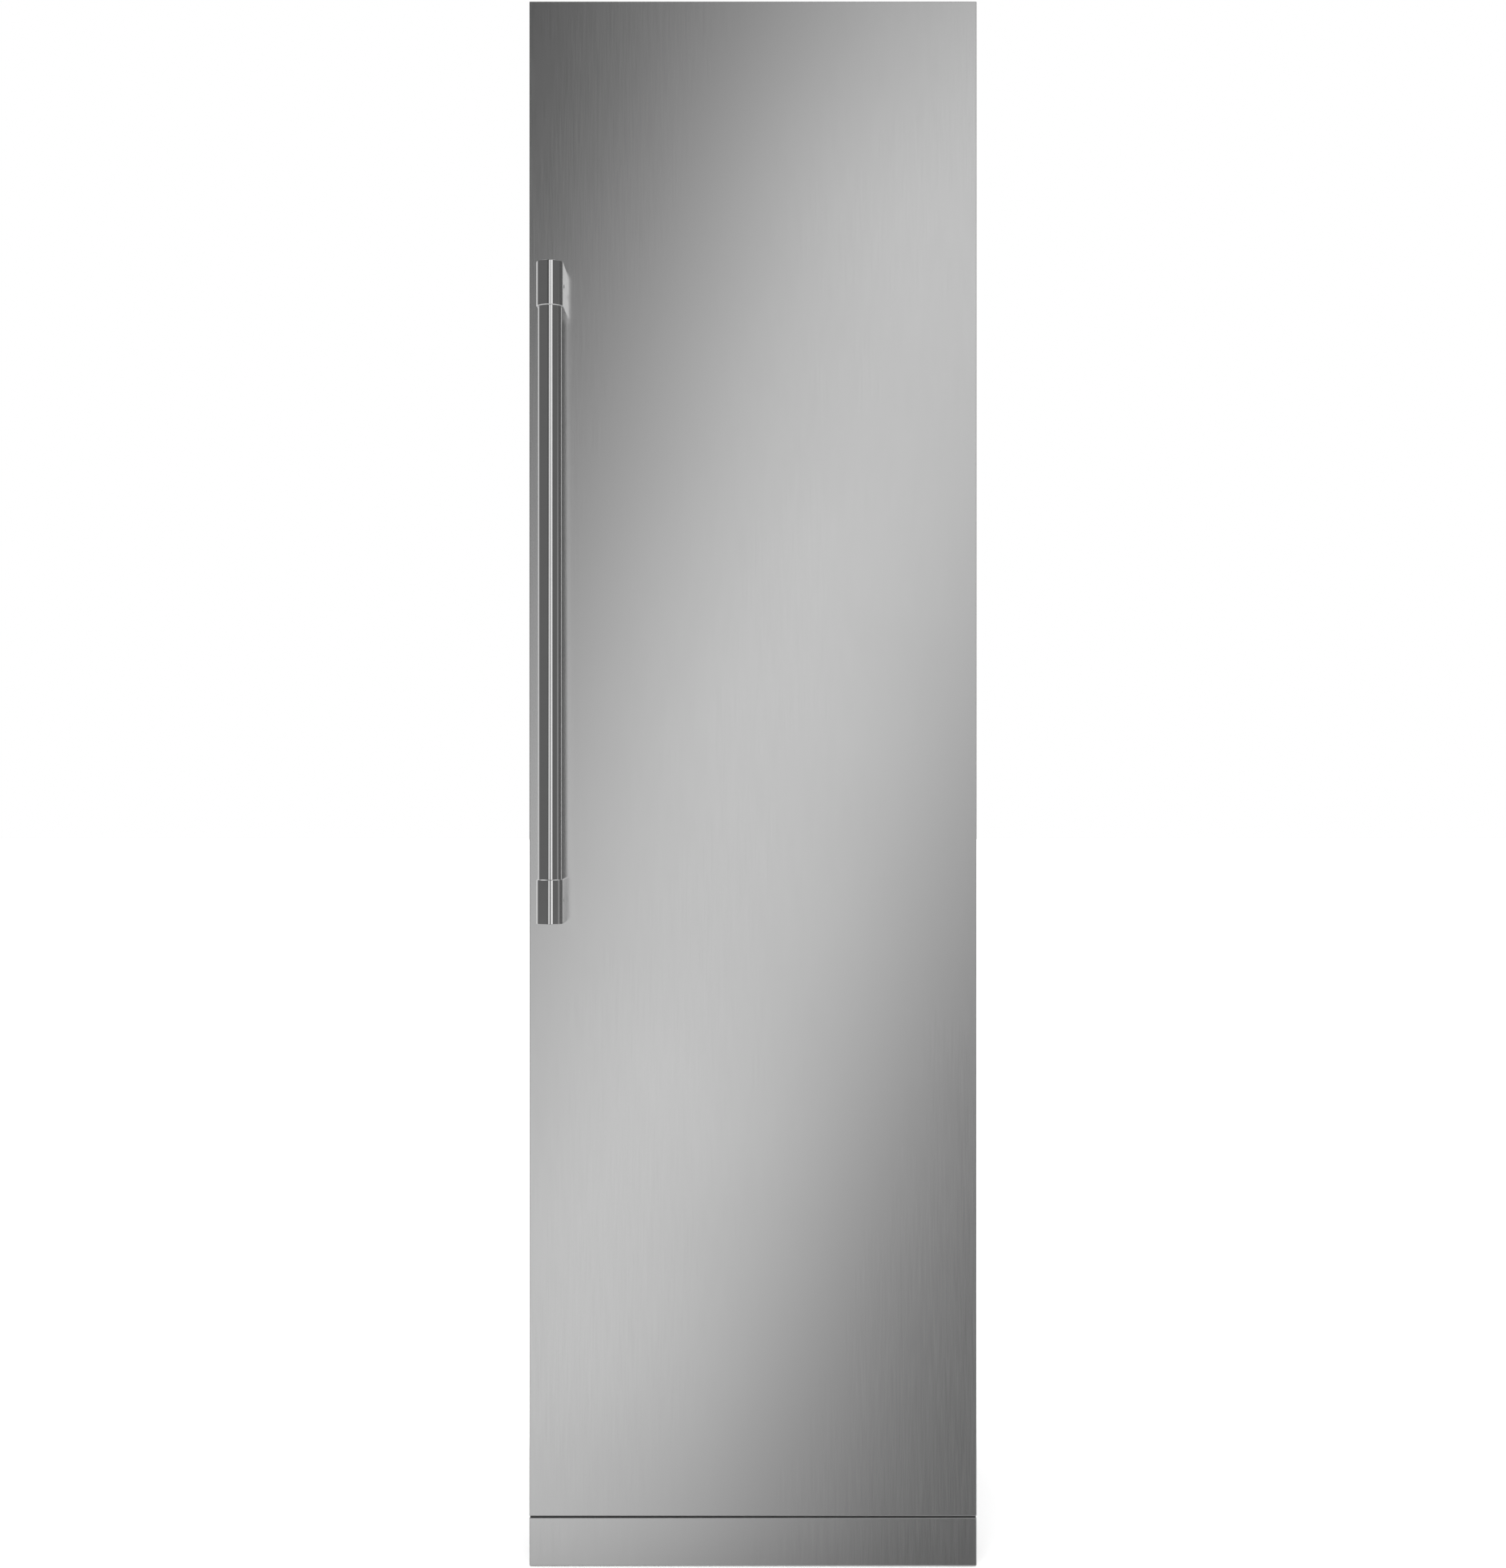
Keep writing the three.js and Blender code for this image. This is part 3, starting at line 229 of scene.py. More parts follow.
def make_light(kind, name, place, target, **settings):
    """A soft light that falls on surfaces but isn't mirrored in the polished ones."""
    data = bpy.data.lights.new(name, kind)
    for setting, value in settings.items():
        setattr(data, setting, value)
    light = bpy.data.objects.new(name, data)
    light.location = place
    light.rotation_euler = (Vector(target) - Vector(place)).to_track_quat("-Z", "Y").to_euler()
    light.visible_glossy = False
    scene.collection.objects.link(light)


def make_floor():
    mesh = bpy.data.meshes.new("floor")
    half = 40.0
    corners = [(-half, -half, 0), (half, -half, 0), (half, half, 0), (-half, half, 0)]
    mesh.from_pydata(corners, [], [(0, 1, 2, 3)])
    floor = bpy.data.objects.new("floor", mesh)
    scene.collection.objects.link(floor)
    floor.visible_glossy = False
    material = bpy.data.materials.new("floor_paint")
    material.use_nodes = True
    g = Graph(material.node_tree)
    shader = g.node("ShaderNodeBsdfPrincipled")
    cloud = g.noise(g.position(), 1.3)
    g.feed(shader.inputs["Base Color"], g.blend(cloud, grey(0.90), grey(0.93)))
    shader.inputs["Roughness"].default_value = 0.9
    shader.inputs["Specular IOR Level"].default_value = 0.1
    g.feed(g.node("ShaderNodeOutputMaterial").inputs[0], shader.outputs[0])
    mesh.materials.append(material)


make_world()
make_light("SUN", "overhead", (0, 0, 5), (0, 0, 0), energy=3.9, angle=math.radians(100))
make_light("AREA", "fill", (-0.9, -4.2, 2.4), (0, 0, 1.1), shape="RECTANGLE", size=3.0, size_y=2.6, energy=60)
make_floor()


# Materials ------------------------------------------------------------------------------------------
def begin(name, metallic=0.0):
    material = bpy.data.materials.new(name)
    material.use_nodes = True
    g = Graph(material.node_tree)
    shader = g.node("ShaderNodeBsdfPrincipled")
    shader.inputs["Metallic"].default_value = metallic
    g.feed(g.node("ShaderNodeOutputMaterial").inputs[0], shader.outputs[0])
    return material, g, shader


def brushed(name, colours, along, roughness, clouds=0.01, relief=0.000004):
    """Metal with fine scratches one way over faint wide clouds."""
    material, g, shader = begin(name, 1.0)
    scratches = g.noise(g.stretched(g.position(), along), 1.0, 4.0, 0.7)
    wide = g.noise(g.position(), 2.2, 2.0)
    g.feed(shader.inputs["Base Color"], g.blend(scratches, *colours))
    worn = g.math("ADD", g.span(scratches, 0.3, 0.7, *roughness), g.span(wide, 0.3, 0.7, -clouds, clouds))
    g.feed(shader.inputs["Roughness"], worn)
    g.feed(shader.inputs["Normal"], g.bump(scratches, relief))
    return material


def mottled(name, colours, scale, roughness, metallic=0.0, relief=0.0, pattern="noise", **sockets):
    """Colour, roughness and relief that follow one fine pattern."""
    material, g, shader = begin(name, metallic)
    spots = g.cells(g.position(), scale) if pattern == "cells" else g.noise(g.position(), scale)
    g.feed(shader.inputs["Base Color"], g.blend(spots, *colours))
    g.feed(shader.inputs["Roughness"], g.span(spots, 0.2, 0.8, *roughness))
    if relief:
        g.feed(shader.inputs["Normal"], g.bump(spots, relief))
    for socket, value in sockets.items():
        shader.inputs[socket.replace("_", " ")].default_value = value
    return material


BRUSHED_UPRIGHT = (900, 900, 14)
FINE, SATIN = 0.00001, 0.00002  # heights of relief, in metres
FOAM = ((0.74, 0.64, 0.36, 1), (0.84, 0.75, 0.48, 1))
CLEAR = ((0.93, 0.96, 0.97, 1), (0.96, 0.98, 0.99, 1))
GLASS = ((0.88, 0.95, 0.93, 1), (0.91, 0.97, 0.95, 1))
COPPER = ((0.72, 0.36, 0.22, 1), (0.80, 0.44, 0.28, 1))
DISPLAY = ((0.7, 0.85, 0.95, 1), (0.8, 0.9, 1.0, 1))

looks = {
    "stainless": brushed("brushed_stainless", greys(0.72, 0.78), BRUSHED_UPRIGHT, (0.17, 0.21)),
    "polished": mottled("polished_stainless", greys(0.80, 0.84), 60, (0.05, 0.09), 1.0),
    "galvanised": mottled("galvanised_sheet", greys(0.50, 0.66), 140, (0.34, 0.48), 0.9, pattern="cells"),
    "painted": mottled("powder_coat", greys(0.30, 0.33), 900, (0.42, 0.52), relief=SATIN),
    "black_steel": mottled("black_paint", greys(0.016, 0.026), 700, (0.36, 0.46), relief=FINE),
    "foam": mottled("foam", FOAM, 600, (0.85, 0.95), relief=0.0002),
    "backing": mottled("core_sheet", greys(0.16, 0.19), 500, (0.48, 0.58), relief=FINE),
    "white_plastic": mottled("white_moulding", greys(0.55, 0.60), 300, (0.34, 0.42), relief=FINE),
    "grey_plastic": mottled("grey_moulding", greys(0.26, 0.30), 800, (0.50, 0.60), relief=SATIN),
    "black_plastic": mottled("black_moulding", greys(0.012, 0.02), 800, (0.40, 0.50), relief=SATIN),
    "rubber": mottled("gasket_rubber", greys(0.30, 0.34), 500, (0.66, 0.78), relief=FINE),
    "clear": mottled("clear_moulding", CLEAR, 40, (0.02, 0.05), Transmission_Weight=0.94, IOR=1.49),
    "glass": mottled("tempered_glass", GLASS, 30, (0.0, 0.02), Transmission_Weight=1.0, IOR=1.52),
    "aluminium": mottled("aluminium_fins", greys(0.70, 0.78), 300, (0.28, 0.40), 0.95),
    "copper": mottled("copper_tube", COPPER, 90, (0.20, 0.36), 1.0),
    "light": mottled(
        "light_diffuser", greys(0.90, 0.95), 200, (0.35, 0.45), Emission_Color=grey(1), Emission_Strength=1.4
    ),
}
liner_steel = brushed("liner_stainless", greys(0.70, 0.76), (500, 500, 20), (0.30, 0.36), 0.02)
# The door's brushed stainless made a little darker for the toe kick: painted shade for its darker shading below
# the door
shaded_kick_steel = brushed("toe_kick_stainless_painted_shade", greys(0.70, 0.76), BRUSHED_UPRIGHT, (0.17, 0.21))
# A near-black rubber look for the strip in the seam under the door: painted shade that makes the seam read dark
seam_shade_rubber = mottled("seam_shade_rubber", greys(0.05, 0.07), 500, (0.66, 0.78), relief=FINE)
display_glass = mottled("display_glass", greys(0.008, 0.012), 50, (0.05, 0.09))
display_light = mottled(
    "display_light", DISPLAY, 400, (0.3, 0.4), Emission_Color=(0.75, 0.9, 1.0, 1), Emission_Strength=1.6
)
own_look = {"inner_liner": liner_steel, "air_duct_cover": liner_steel, "toe_kick_panel": shaded_kick_steel}
slot_of = {s["node"]: s["material_slot"] for s in frame["record"]["subparts"]}
for name, node in nodes.items():
    for slot in node.material_slots:
        slot.material = own_look.get(name, looks[slot_of[name]])


# CAD nodes: softened edges ------------------------------------------------------------------------------
def refine(name, width, segments):
    """Rounds a CAD node's edges in its modifiers and leaves its mesh alone."""
    node = nodes[name]
    weld = node.modifiers.new("weld", "WELD")
    weld.merge_threshold = 0.00001
    flat = node.modifiers.new("flat", "DECIMATE")
    flat.decimate_type = "DISSOLVE"
    flat.angle_limit = math.radians(0.5)
    bevel = node.modifiers.new("bevel", "BEVEL")
    bevel.width = width * MM
    bevel.segments = segments
    bevel.limit_method = "ANGLE"
    bevel.angle_limit = math.radians(35)
    normals = node.modifiers.new("normals", "WEIGHTED_NORMAL")
    normals.keep_sharp = False


EDGES = {
    1.6: ["door_panel"],
    0.9: ["toe_kick_panel"],
    1.5: ["door_rail_left", "door_rail_right"],
    1.0: ["drawer_front_lower", "drawer_front_upper", "hinge_bracket_top", "control_panel"],
    0.8: ["door_bin_1", "door_bin_2", "door_bin_3", "dairy_bin", "dairy_lid"]
    + ["drawer_rail_left", "drawer_rail_right"],
    0.6: [f"shelf_glass_{k}" for k in (1, 2, 3)] + ["crisper_cover", "hinge_bracket_bottom", "control_box"],
    0.5: [f"shelf_frame_{k}" for k in (1, 2, 3)] + ["door_liner", "drain_tray", "power_inlet"],
}
for width, names in EDGES.items():
    for name in names:
        refine(name, width, 3 if width > 1 else 2)


# Shapes -------------------------------------------------------------------------------------------------
AXES = {
    "x": lambda u, v, w: Vector((w, u, v)),
    "y": lambda u, v, w: Vector((u, w, v)),
    "z": lambda u, v, w: Vector((u, v, w)),
}


def arc(u, v, radius, start, end, steps):
    angles = [math.radians(start + (end - start) * k / steps) for k in range(steps + 1)]
    return [(u + radius * math.cos(a), v + radius * math.sin(a)) for a in angles]


def rectangle(u0, v0, u1, v1, corner=0.0, steps=4):
    if not corner:
        return [(u0, v0), (u1, v0), (u1, v1), (u0, v1)]
    return (
        arc(u1 - corner, v0 + corner, corner, -90, 0, steps)
        + arc(u1 - corner, v1 - corner, corner, 0, 90, steps)
        + arc(u0 + corner, v1 - corner, corner, 90, 180, steps)
        + arc(u0 + corner, v0 + corner, corner, 180, 270, steps)
    )


def inset(outline, distance):
    """Moves every side of a closed outline inwards."""
    points = [Vector(p) for p in outline]
    if not distance:
        return points
    area = sum(a.x * b.y - b.x * a.y for a, b in zip(points, points[1:] + points[:1]))
    turn = math.copysign(1.0, area)
    moved = []
    for before, here, after in zip(points[-1:] + points[:-1], points, points[1:] + points[:1]):
        one, two = (here - before).normalized(), (after - here).normalized()
        normals = [Vector((-e.y, e.x)) * turn for e in (one, two)]
        middle = (normals[0] + normals[1]).normalized()
        moved.append(here + middle * distance / max(0.3, middle.dot(normals[0])))
    return moved


class Shape:
    """Closed bodies gathered into one mesh. Every length given to it is in millimetres."""

    def __init__(self):
        self.bm = bmesh.new()

    def skin(self, rings, closed=False):
        """Joins rings of points that match one to one, and caps the ends unless the last meets the first."""
        made = [[self.bm.verts.new(p * MM) for p in ring] for ring in rings]
        pairs = list(zip(made, made[1:] + made[:1]))
        for one, two in pairs if closed else pairs[:-1]:
            for k in range(len(one)):
                m = (k + 1) % len(one)
                self.bm.faces.new((one[k], one[m], two[m], two[k]))
        if not closed:
            self.bm.faces.new(made[0])
            self.bm.faces.new(made[-1])
        return self

    def plate(self, outline, low, high, axis="z", edge=0.0, steps=3):
        """An outline carried along an axis, with its two end edges rounded."""
        turns = [math.radians(90 * k / steps) for k in range(steps + 1)] if edge else [math.pi / 2]
        ends = [(edge * (1 - math.sin(t)), edge * (1 - math.cos(t))) for t in turns]
        levels = [(low + up, inward) for inward, up in ends]
        levels += [(high - up, inward) for inward, up in ends[::-1]]
        return self.skin([[AXES[axis](p.x, p.y, w) for p in inset(outline, inward)] for w, inward in levels])

    def box(self, low, high, edge=0.0, corner=0.0):
        """A block between two corners, with rounded edges."""
        outline = rectangle(low[0], low[1], high[0], high[1], corner or edge * 1.2)
        return self.plate(outline, low[2], high[2], "z", edge, 2)

    def turned(self, profile, centre, axis="z", way=1, sides=24, closed=False):
        """A body of revolution from (radius, height) steps; a third item makes that ring a hexagon."""
        u, v, w = centre
        rings = []
        for radius, height, *hexagon in profile:
            ring = []
            for k in range(sides):
                a = 2 * math.pi * k / sides
                reach = radius / math.cos(a % (math.pi / 3) - math.pi / 6) if hexagon else radius
                ring.append(AXES[axis](u + reach * math.cos(a), v + reach * math.sin(a), w + way * height))
            rings.append(ring)
        return self.skin(rings, closed)

    def screw(self, centre, axis="y", way=-1, radius=4.0, height=2.2):
        """A domed head with a hexagonal socket."""
        socket = radius * 0.42
        return self.turned(
            [
                (radius, 0), (radius, height * 0.35), (radius * 0.92, height * 0.7), (radius * 0.7, height),
                (socket * 1.12, height, 1), (socket, height * 0.93, 1), (socket * 0.98, height * 0.3, 1),
            ],
            centre, axis, way,
        )

    def bolt(self, centre, axis="z", way=1, radius=9.0, height=6.0):
        """A hexagonal head on a round flange."""
        self.turned([(radius, 0), (radius, 1.0), (radius * 0.92, 1.6)], centre, axis, way)
        across = radius * 0.72
        profile = [(across, 1.5, 1), (across, height - 0.6, 1), (across * 0.93, height)]
        return self.turned(profile, centre, axis, way, 36)

    def nut(self, centre, across, hole, thickness):
        profile = [(across, 0, 1), (across, thickness, 1), (hole, thickness), (hole, 0)]
        return self.turned(profile, centre, closed=True, sides=36)

    def hoop(self, centre, axis, radius, wire):
        section = arc(radius, 0, wire, 0, 315, 7)
        u, v, w = centre
        rings = []
        for k in range(48):
            a = 2 * math.pi * k / 48
            rings.append([AXES[axis](u + r * math.cos(a), v + r * math.sin(a), w + h) for r, h in section])
        return self.skin(rings, closed=True)

    def tube(self, points, radius, sides=12, steps=6):
        """A round tube along a smooth path through the points."""
        knots = [Vector(p) for p in points]
        knots = [2 * knots[0] - knots[1], *knots, 2 * knots[-1] - knots[-2]]
        path = []
        for a, b, c, d in zip(knots, knots[1:], knots[2:], knots[3:]):
            square, cube = 2 * a - 5 * b + 4 * c - d, 3 * b - a - 3 * c + d
            for k in range(steps):
                t = k / steps
                path.append(0.5 * (2 * b + (c - a) * t + square * t**2 + cube * t**3))
        path.append(knots[-2])
        across = (path[1] - path[0]).orthogonal().normalized()
        rings = []
        for before, here, after in zip(path[:1] + path[:-1], path, path[1:] + path[-1:]):
            along = (after - before).normalized()
            across = (across - along * across.dot(along)).normalized()
            other = along.cross(across)
            circle = arc(0, 0, radius, 0, 360 - 360 / sides, sides - 1)
            rings.append([here + across * u + other * v for u, v in circle])
        return self.skin(rings)


def piece(name, shape, body, slot, look=None, stands_for=(), sharp=32):
    bm = shape.bm
    bmesh.ops.recalc_face_normals(bm, faces=bm.faces)
    for face in bm.faces:
        face.smooth = True
    for edge in bm.edges:
        edge.smooth = edge.calc_face_angle(0.0) < math.radians(sharp)
    mesh = bpy.data.meshes.new(name)
    bm.to_mesh(mesh)
    bm.free()
    mesh.materials.append(look or looks[slot])
    made = bpy.data.objects.new(name, mesh)
    scene.collection.objects.link(made)
    made.modifiers.new("normals", "WEIGHTED_NORMAL").keep_sharp = True
    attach(made, body)
    if stands_for:
        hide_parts(*stands_for)
    return made


# Sizes of the CAD frame that the pieces are fitted to, in millimetres -----------------------------------
FACE = -272.5  # front of the door panel
FRONT = -190.5  # front flange of the cabinet
BACK = 337.5
BASE_TOP = 30.3  # a hair above the floor plate of the base frame
KICK_TOP = 66.5
HANDLE = (-272.7, -319.5)
BAR_RADIUS, END_RADIUS, END_HEIGHT = 15.9, 18.0, 60.0
BAR_BOTTOM, BAR_TOP = 879.0, 1767.0
CAVITY = (249.8, 264.0, 2040.0)  # half width, bottom and top
LINER_BACK = -200.2  # inner face of the door
RAIL_INNER, BIN_HALF = 210.0, 207.0
STUD_Y, STUD_UP = -182.0, 62.0
BIN_LEVELS = (700.0, 1050.0, 1400.0)
DAIRY_LEVEL = 1740.0
DUCT = 236.0
SHELF_FRONT = -84.5
SHELF_LEVELS = (1000.0, 1330.0, 1660.0)
STANDARD_X = 170
DRAWERS = {"lower": 450.0, "upper": 640.0}  # top of each drawer's front
EVAPORATOR_FAN = (0, 1092)
CONDENSER_FAN = (110, 114.3)
COMPRESSOR = (-175, 205)
FEET = {
    "front_left": (-268.0, -145.5), "front_right": (268.0, -145.5),
    "rear_left": (-268.0, 297.5), "rear_right": (268.0, 297.5),
}


# Handle -------------------------------------------------------------------------------------------------
def handle_end(far, near, way):
    """A D-shaped post with rounded edges and a round socket in the end that faces the bar."""
    reach = FACE - 0.3 - HANDLE[1]
    flat = [reach * k / 8 for k in range(1, 9)]
    outline = arc(0, 0, END_RADIUS, 180, 360, 40)
    outline += [(END_RADIUS, v) for v in flat] + [(END_RADIUS * (1 - k / 4), reach) for k in range(1, 9)]
    outline += [(-END_RADIUS, v) for v in flat[-2::-1]]
    levels = [(inset(outline, d), far + up * way) for d, up in ((0.8, 0), (0.25, 0.25), (0, 0.8))]
    levels += [(inset(outline, d), near - down * way) for d, down in ((0, 0.9), (0.9, 0))]
    for clearance, down in ((0.25, 0), (0.15, 1), (0.15, 12.4)):
        socket = [Vector(p).normalized() * (BAR_RADIUS + clearance) for p in outline]
        levels.append((socket, near - down * way))
    return Shape().skin([[Vector((p.x + HANDLE[0], p.y + HANDLE[1], z)) for p in ring] for ring, z in levels])


low, high = BAR_BOTTOM + END_HEIGHT - 12, BAR_TOP - END_HEIGHT + 12
bar = [(BAR_RADIUS - 0.6, low), (BAR_RADIUS, low + 0.6), (BAR_RADIUS, high - 0.6), (BAR_RADIUS - 0.6, high)]
piece("bar", Shape().turned(bar, (*HANDLE, 0), sides=96), "door", "polished", stands_for=["handle_bar"])
for name, far, way in (("top", BAR_TOP, -1), ("bottom", BAR_BOTTOM, 1)):
    near = far + END_HEIGHT * way
    post = handle_end(far, near, way)
    piece(f"bar_end_{name}", post, "door", "polished", stands_for=[f"handle_end_{name}"])
    place = (HANDLE[1] + 14, (far + near) / 2, HANDLE[0] + END_RADIUS - 0.2)
    piece(f"bar_grub_screw_{name}", Shape().screw(place, "x", 1, 3.2, 0.7), "door", "polished")


# Inside of the door ---------------------------------------------------------------------------------------
def gasket():
    """A mitred ring of bellows section: a base on the liner, a folded neck and a flat magnet head."""
    side = [
        (0, -199.9), (0, -198.3), (5.6, -197.7), (4.2, -196.9), (3.8, -195.9), (6.5, -195.2), (7.6, -194.6),
        (5.2, -193.6), (4.6, -192.2), (5.0, -191.2), (5.8, -190.9),
    ]
    section = side + [(26 - n, y) for n, y in side[::-1]]
    rings = []
    for x, z in ((-282, 236), (282, 236), (282, 2072), (-282, 2072)):
        sx, sz = math.copysign(1, x), (1 if z < 1000 else -1)
        rings.append([Vector((x - sx * n, y, z + sz * n)) for n, y in section])
    return Shape().skin(rings, closed=True)


piece("gasket", gasket(), "door", "rubber", stands_for=["door_gasket"], sharp=50)
field = Shape().plate(rectangle(-204, 298, 204, 2008, 14, 6), LINER_BACK + 0.05, LINER_BACK + 1.9, "y", 0.8)
piece("door_liner_field", field, "door", "white_plastic")


def bin_hooks(half, level):
    """A plate on each end of a bin, with a slot that drops over the rail's stud."""
    y, low, high = STUD_Y, level + 30, level + 90
    outline = [(y - 6.5, low)] + arc(y, level + STUD_UP, 6.5, 180, 0, 12) + [(y + 6.5, low)]
    outline += [(y + 12, low), (y + 12, high - 4), (y + 8, high)]
    outline += [(y - 8, high), (y - 12, high - 4), (y - 12, low)]
    shape = Shape()
    for left, right in ((half + 0.05, RAIL_INNER - 0.7), (-RAIL_INNER + 0.7, -half - 0.05)):
        shape.plate(outline, left, right, "x", 0.4)
    return shape


studs = Shape()
for level in (*BIN_LEVELS, DAIRY_LEVEL):
    for side in (-1, 1):
        stud = [(7.6, 0), (7.6, 0.5), (6.0, 0.7), (6.0, 2.2), (5.4, 2.7)]
        studs.turned(stud, (STUD_Y, level + STUD_UP, side * RAIL_INNER), "x", -side)
piece("bin_studs", studs, "door", "grey_plastic")

for number, level in enumerate(BIN_LEVELS, 1):
    body = f"door_bin_{number}"
    piece(f"bin_{number}_hooks", bin_hooks(BIN_HALF, level), body, "clear")
    rim = rectangle(-104.4, level + 69, -98.8, level + 76.6, 2.6)
    trim = Shape().plate(rim, -BIN_HALF + 0.2, BIN_HALF - 0.2, "x", 1.0)
    piece(f"bin_{number}_trim", trim, body, "stainless")
    mat = Shape().box((-202, -193, level + 3.05), (202, -105, level + 3.9), 0.3, 5)
    for k in range(33):
        x = -192 + 12 * k
        mat.plate(rectangle(x - 1.3, level + 3.8, x + 1.3, level + 5.4, 1.0, 2), -190, -108, "y", 0.5)
    piece(f"bin_{number}_mat", mat, body, "rubber")
piece("dairy_bin_hooks", bin_hooks(BIN_HALF - 0.3, DAIRY_LEVEL), "door", "clear")
grip = Shape().plate(rectangle(-96.05, 1783, -93.4, 1790, 1.2), -58, 58, "x", 1.0)
piece("dairy_lid_grip", grip, "dairy_lid", "stainless")


# Hinges ---------------------------------------------------------------------------------------------------
bolts = Shape()
for x, y in ((228, -112), (285, -112), (285, -152)):
    bolts.bolt((x, y, 2106.3))
piece("hinge_bolts_top", bolts, "cabinet", "galvanised")
bolts = Shape()
for z in (138, 182):
    bolts.bolt((282, z, -194.8), "y", -1, 8.0, 5.0)
piece("hinge_bolts_bottom", bolts, "cabinet", "galvanised")


# Painted shade: a near-black rubber strip on the toe kick, behind the seam under the door, darkens the seam
# ------
seam_shade_strip = Shape().plate(rectangle(-270.9, KICK_TOP + 0.02, -268.4, KICK_TOP + 2.1, 0.8), -303.6, 303.6, "x", 0.4)
piece("toe_kick_seam_shade", seam_shade_strip, "cabinet", "rubber", seam_shade_rubber)


# Cavity ---------------------------------------------------------------------------------------------------
def liner():
    """The cavity's lining, open at the front, with round corners and a square lip in the shell's opening."""
    half, bottom, top = CAVITY
    rings = []
    for grow, corner, y in (
        (1.5, 15.5, 289), (1.5, 15.5, FRONT + 1.0), (1.65, 0.4, FRONT + 1.0),
        (1.65, 0.4, FRONT), (0, 14, FRONT), (0, 14, 287.5),
    ):
        outline = rectangle(-half - grow, bottom - grow, half + grow, top + grow, corner, 12)
        rings.append([Vector((u, y, v)) for u, v in outline])
    return Shape().skin(rings)


piece("liner", liner(), "cabinet", "stainless", liner_steel, ["inner_liner"])

VENT_LEVELS = (700, 870, 1210, 1540, 1880)
VENT_HALF = (127, 16.5)
bezels = Shape()
section = [(0, 236.1), (0, 235.0), (0.6, 234.6), (4.0, 234.6), (4.6, 235.0), (4.6, 236.1)]
for z in VENT_LEVELS:
    rings = []
    for sx, sz in ((-1, -1), (1, -1), (1, 1), (-1, 1)):
        rings.append([Vector((sx * (VENT_HALF[0] - n), y, z + sz * (VENT_HALF[1] - n))) for n, y in section])
    bezels.skin(rings, closed=True)
piece("duct_bezels", bezels, "cabinet", "black_plastic")

screws = Shape()
for x in (-225, 225):
    for z in (700, 1150, 1480, 1820, 2010):
        screws.screw((x, z, DUCT), radius=3.6, height=1.8)
piece("duct_cover_screws", screws, "cabinet", "polished")

for side, x in (("left", -STANDARD_X), ("right", STANDARD_X)):
    standard = Shape()
    for low, high in ((x - 8, x - 4), (x + 4, x + 8)):
        standard.box((low, 230.6, 664), (high, 235.9, 2024), 0.3)
    for k in range(55):
        z = 668 + 25 * k
        standard.box((x - 4.2, 230.8, z), (x + 4.2, 232.2, z + 11), 0.2)
    piece(f"shelf_standard_{side}", standard, "cabinet", "stainless")
for number, level in enumerate(SHELF_LEVELS, 1):
    hooks = Shape()
    outline = [(225.8, level - 12), (235.4, level - 22), (235.4, level - 12), (230.2, level - 8)]
    outline += [(230.2, level + 2), (235.4, level + 2), (235.4, level + 6), (225.8, level + 6)]
    for x in (-STANDARD_X, STANDARD_X):
        hooks.plate(outline, x - 1.2, x + 1.2, "x", 0.3)
    piece(f"shelf_hooks_{number}", hooks, "cabinet", "stainless")
    caps = Shape()
    outline = rectangle(SHELF_FRONT - 0.4, level - 9.4, SHELF_FRONT + 9.4, level + 8.4, 3.6, 6)
    for low, high in ((-240, -237.6), (237.6, 240)):
        caps.plate(outline, low, high, "x", 0.8)
    piece(f"shelf_end_caps_{number}", caps, "cabinet", "grey_plastic")

PANEL_TOP = 2039.7
MARK_FACES = (-153.75, -153.45)  # front and back of every mark on the display
SEGMENTS = {"3": "abgcd", "8": "abcdefg"}
pane = rectangle(-128, PANEL_TOP - 24.2, 128, PANEL_TOP - 2.4, 3, 5)
window = Shape().plate(pane, -153.5, -152.4, "y", 0.4)
piece("display_window", window, "cabinet", "black_plastic", display_glass)


def digit(shape, x, z, value, height=11.0, width=6.0, thick=1.1):
    """A seven-segment number."""
    half, gap = height / 2, 0.35
    places = {
        "a": (x, z + height, 0), "g": (x, z + half, 0), "d": (x, z, 0),
        "f": (x - width / 2, z + half * 1.5, 1), "b": (x + width / 2, z + half * 1.5, 1),
        "e": (x - width / 2, z + half / 2, 1), "c": (x + width / 2, z + half / 2, 1),
    }
    for key in SEGMENTS[value]:
        u, v, upright = places[key]
        long, thin = (half if upright else width) / 2 - gap, thick / 2
        reach = (thin, long) if upright else (long, thin)
        shape.plate(rectangle(u - reach[0], v - reach[1], u + reach[0], v + reach[1], 0.4, 2), *MARK_FACES, "y")


marks = Shape()
base = PANEL_TOP - 19
digit(marks, -8, base, "3")
digit(marks, 4, base, "8")
marks.plate(arc(11, base + 10, 1.0, 0, 330, 11), *MARK_FACES, "y")
for x in (-70, 70):
    marks.plate(rectangle(x - 4, base + 4.9, x + 4, base + 6.1, 0.5, 2), *MARK_FACES, "y")
for low, high in ((1.5, 4.8), (6.2, 9.5)):
    marks.plate(rectangle(69.4, base + low, 70.6, base + high, 0.5, 2), *MARK_FACES, "y")
for x in (-105, -38, 38, 105):
    marks.plate(arc(x, base + 5.5, 1.6, 0, 345, 15), *MARK_FACES, "y")
piece("display_marks", marks, "cabinet", "light", display_light)

for side, sign in (("left", -1), ("right", 1)):
    caps = Shape()
    x = sign * 246.5
    for z0, z1 in ((673.4, 678.4), (1985.6, 1990.6)):
        caps.box((x - 3.0, -153, z0), (x + 3.0, -136, z1), 0.8)
    piece(f"light_strip_caps_{side}", caps, "cabinet", "grey_plastic")


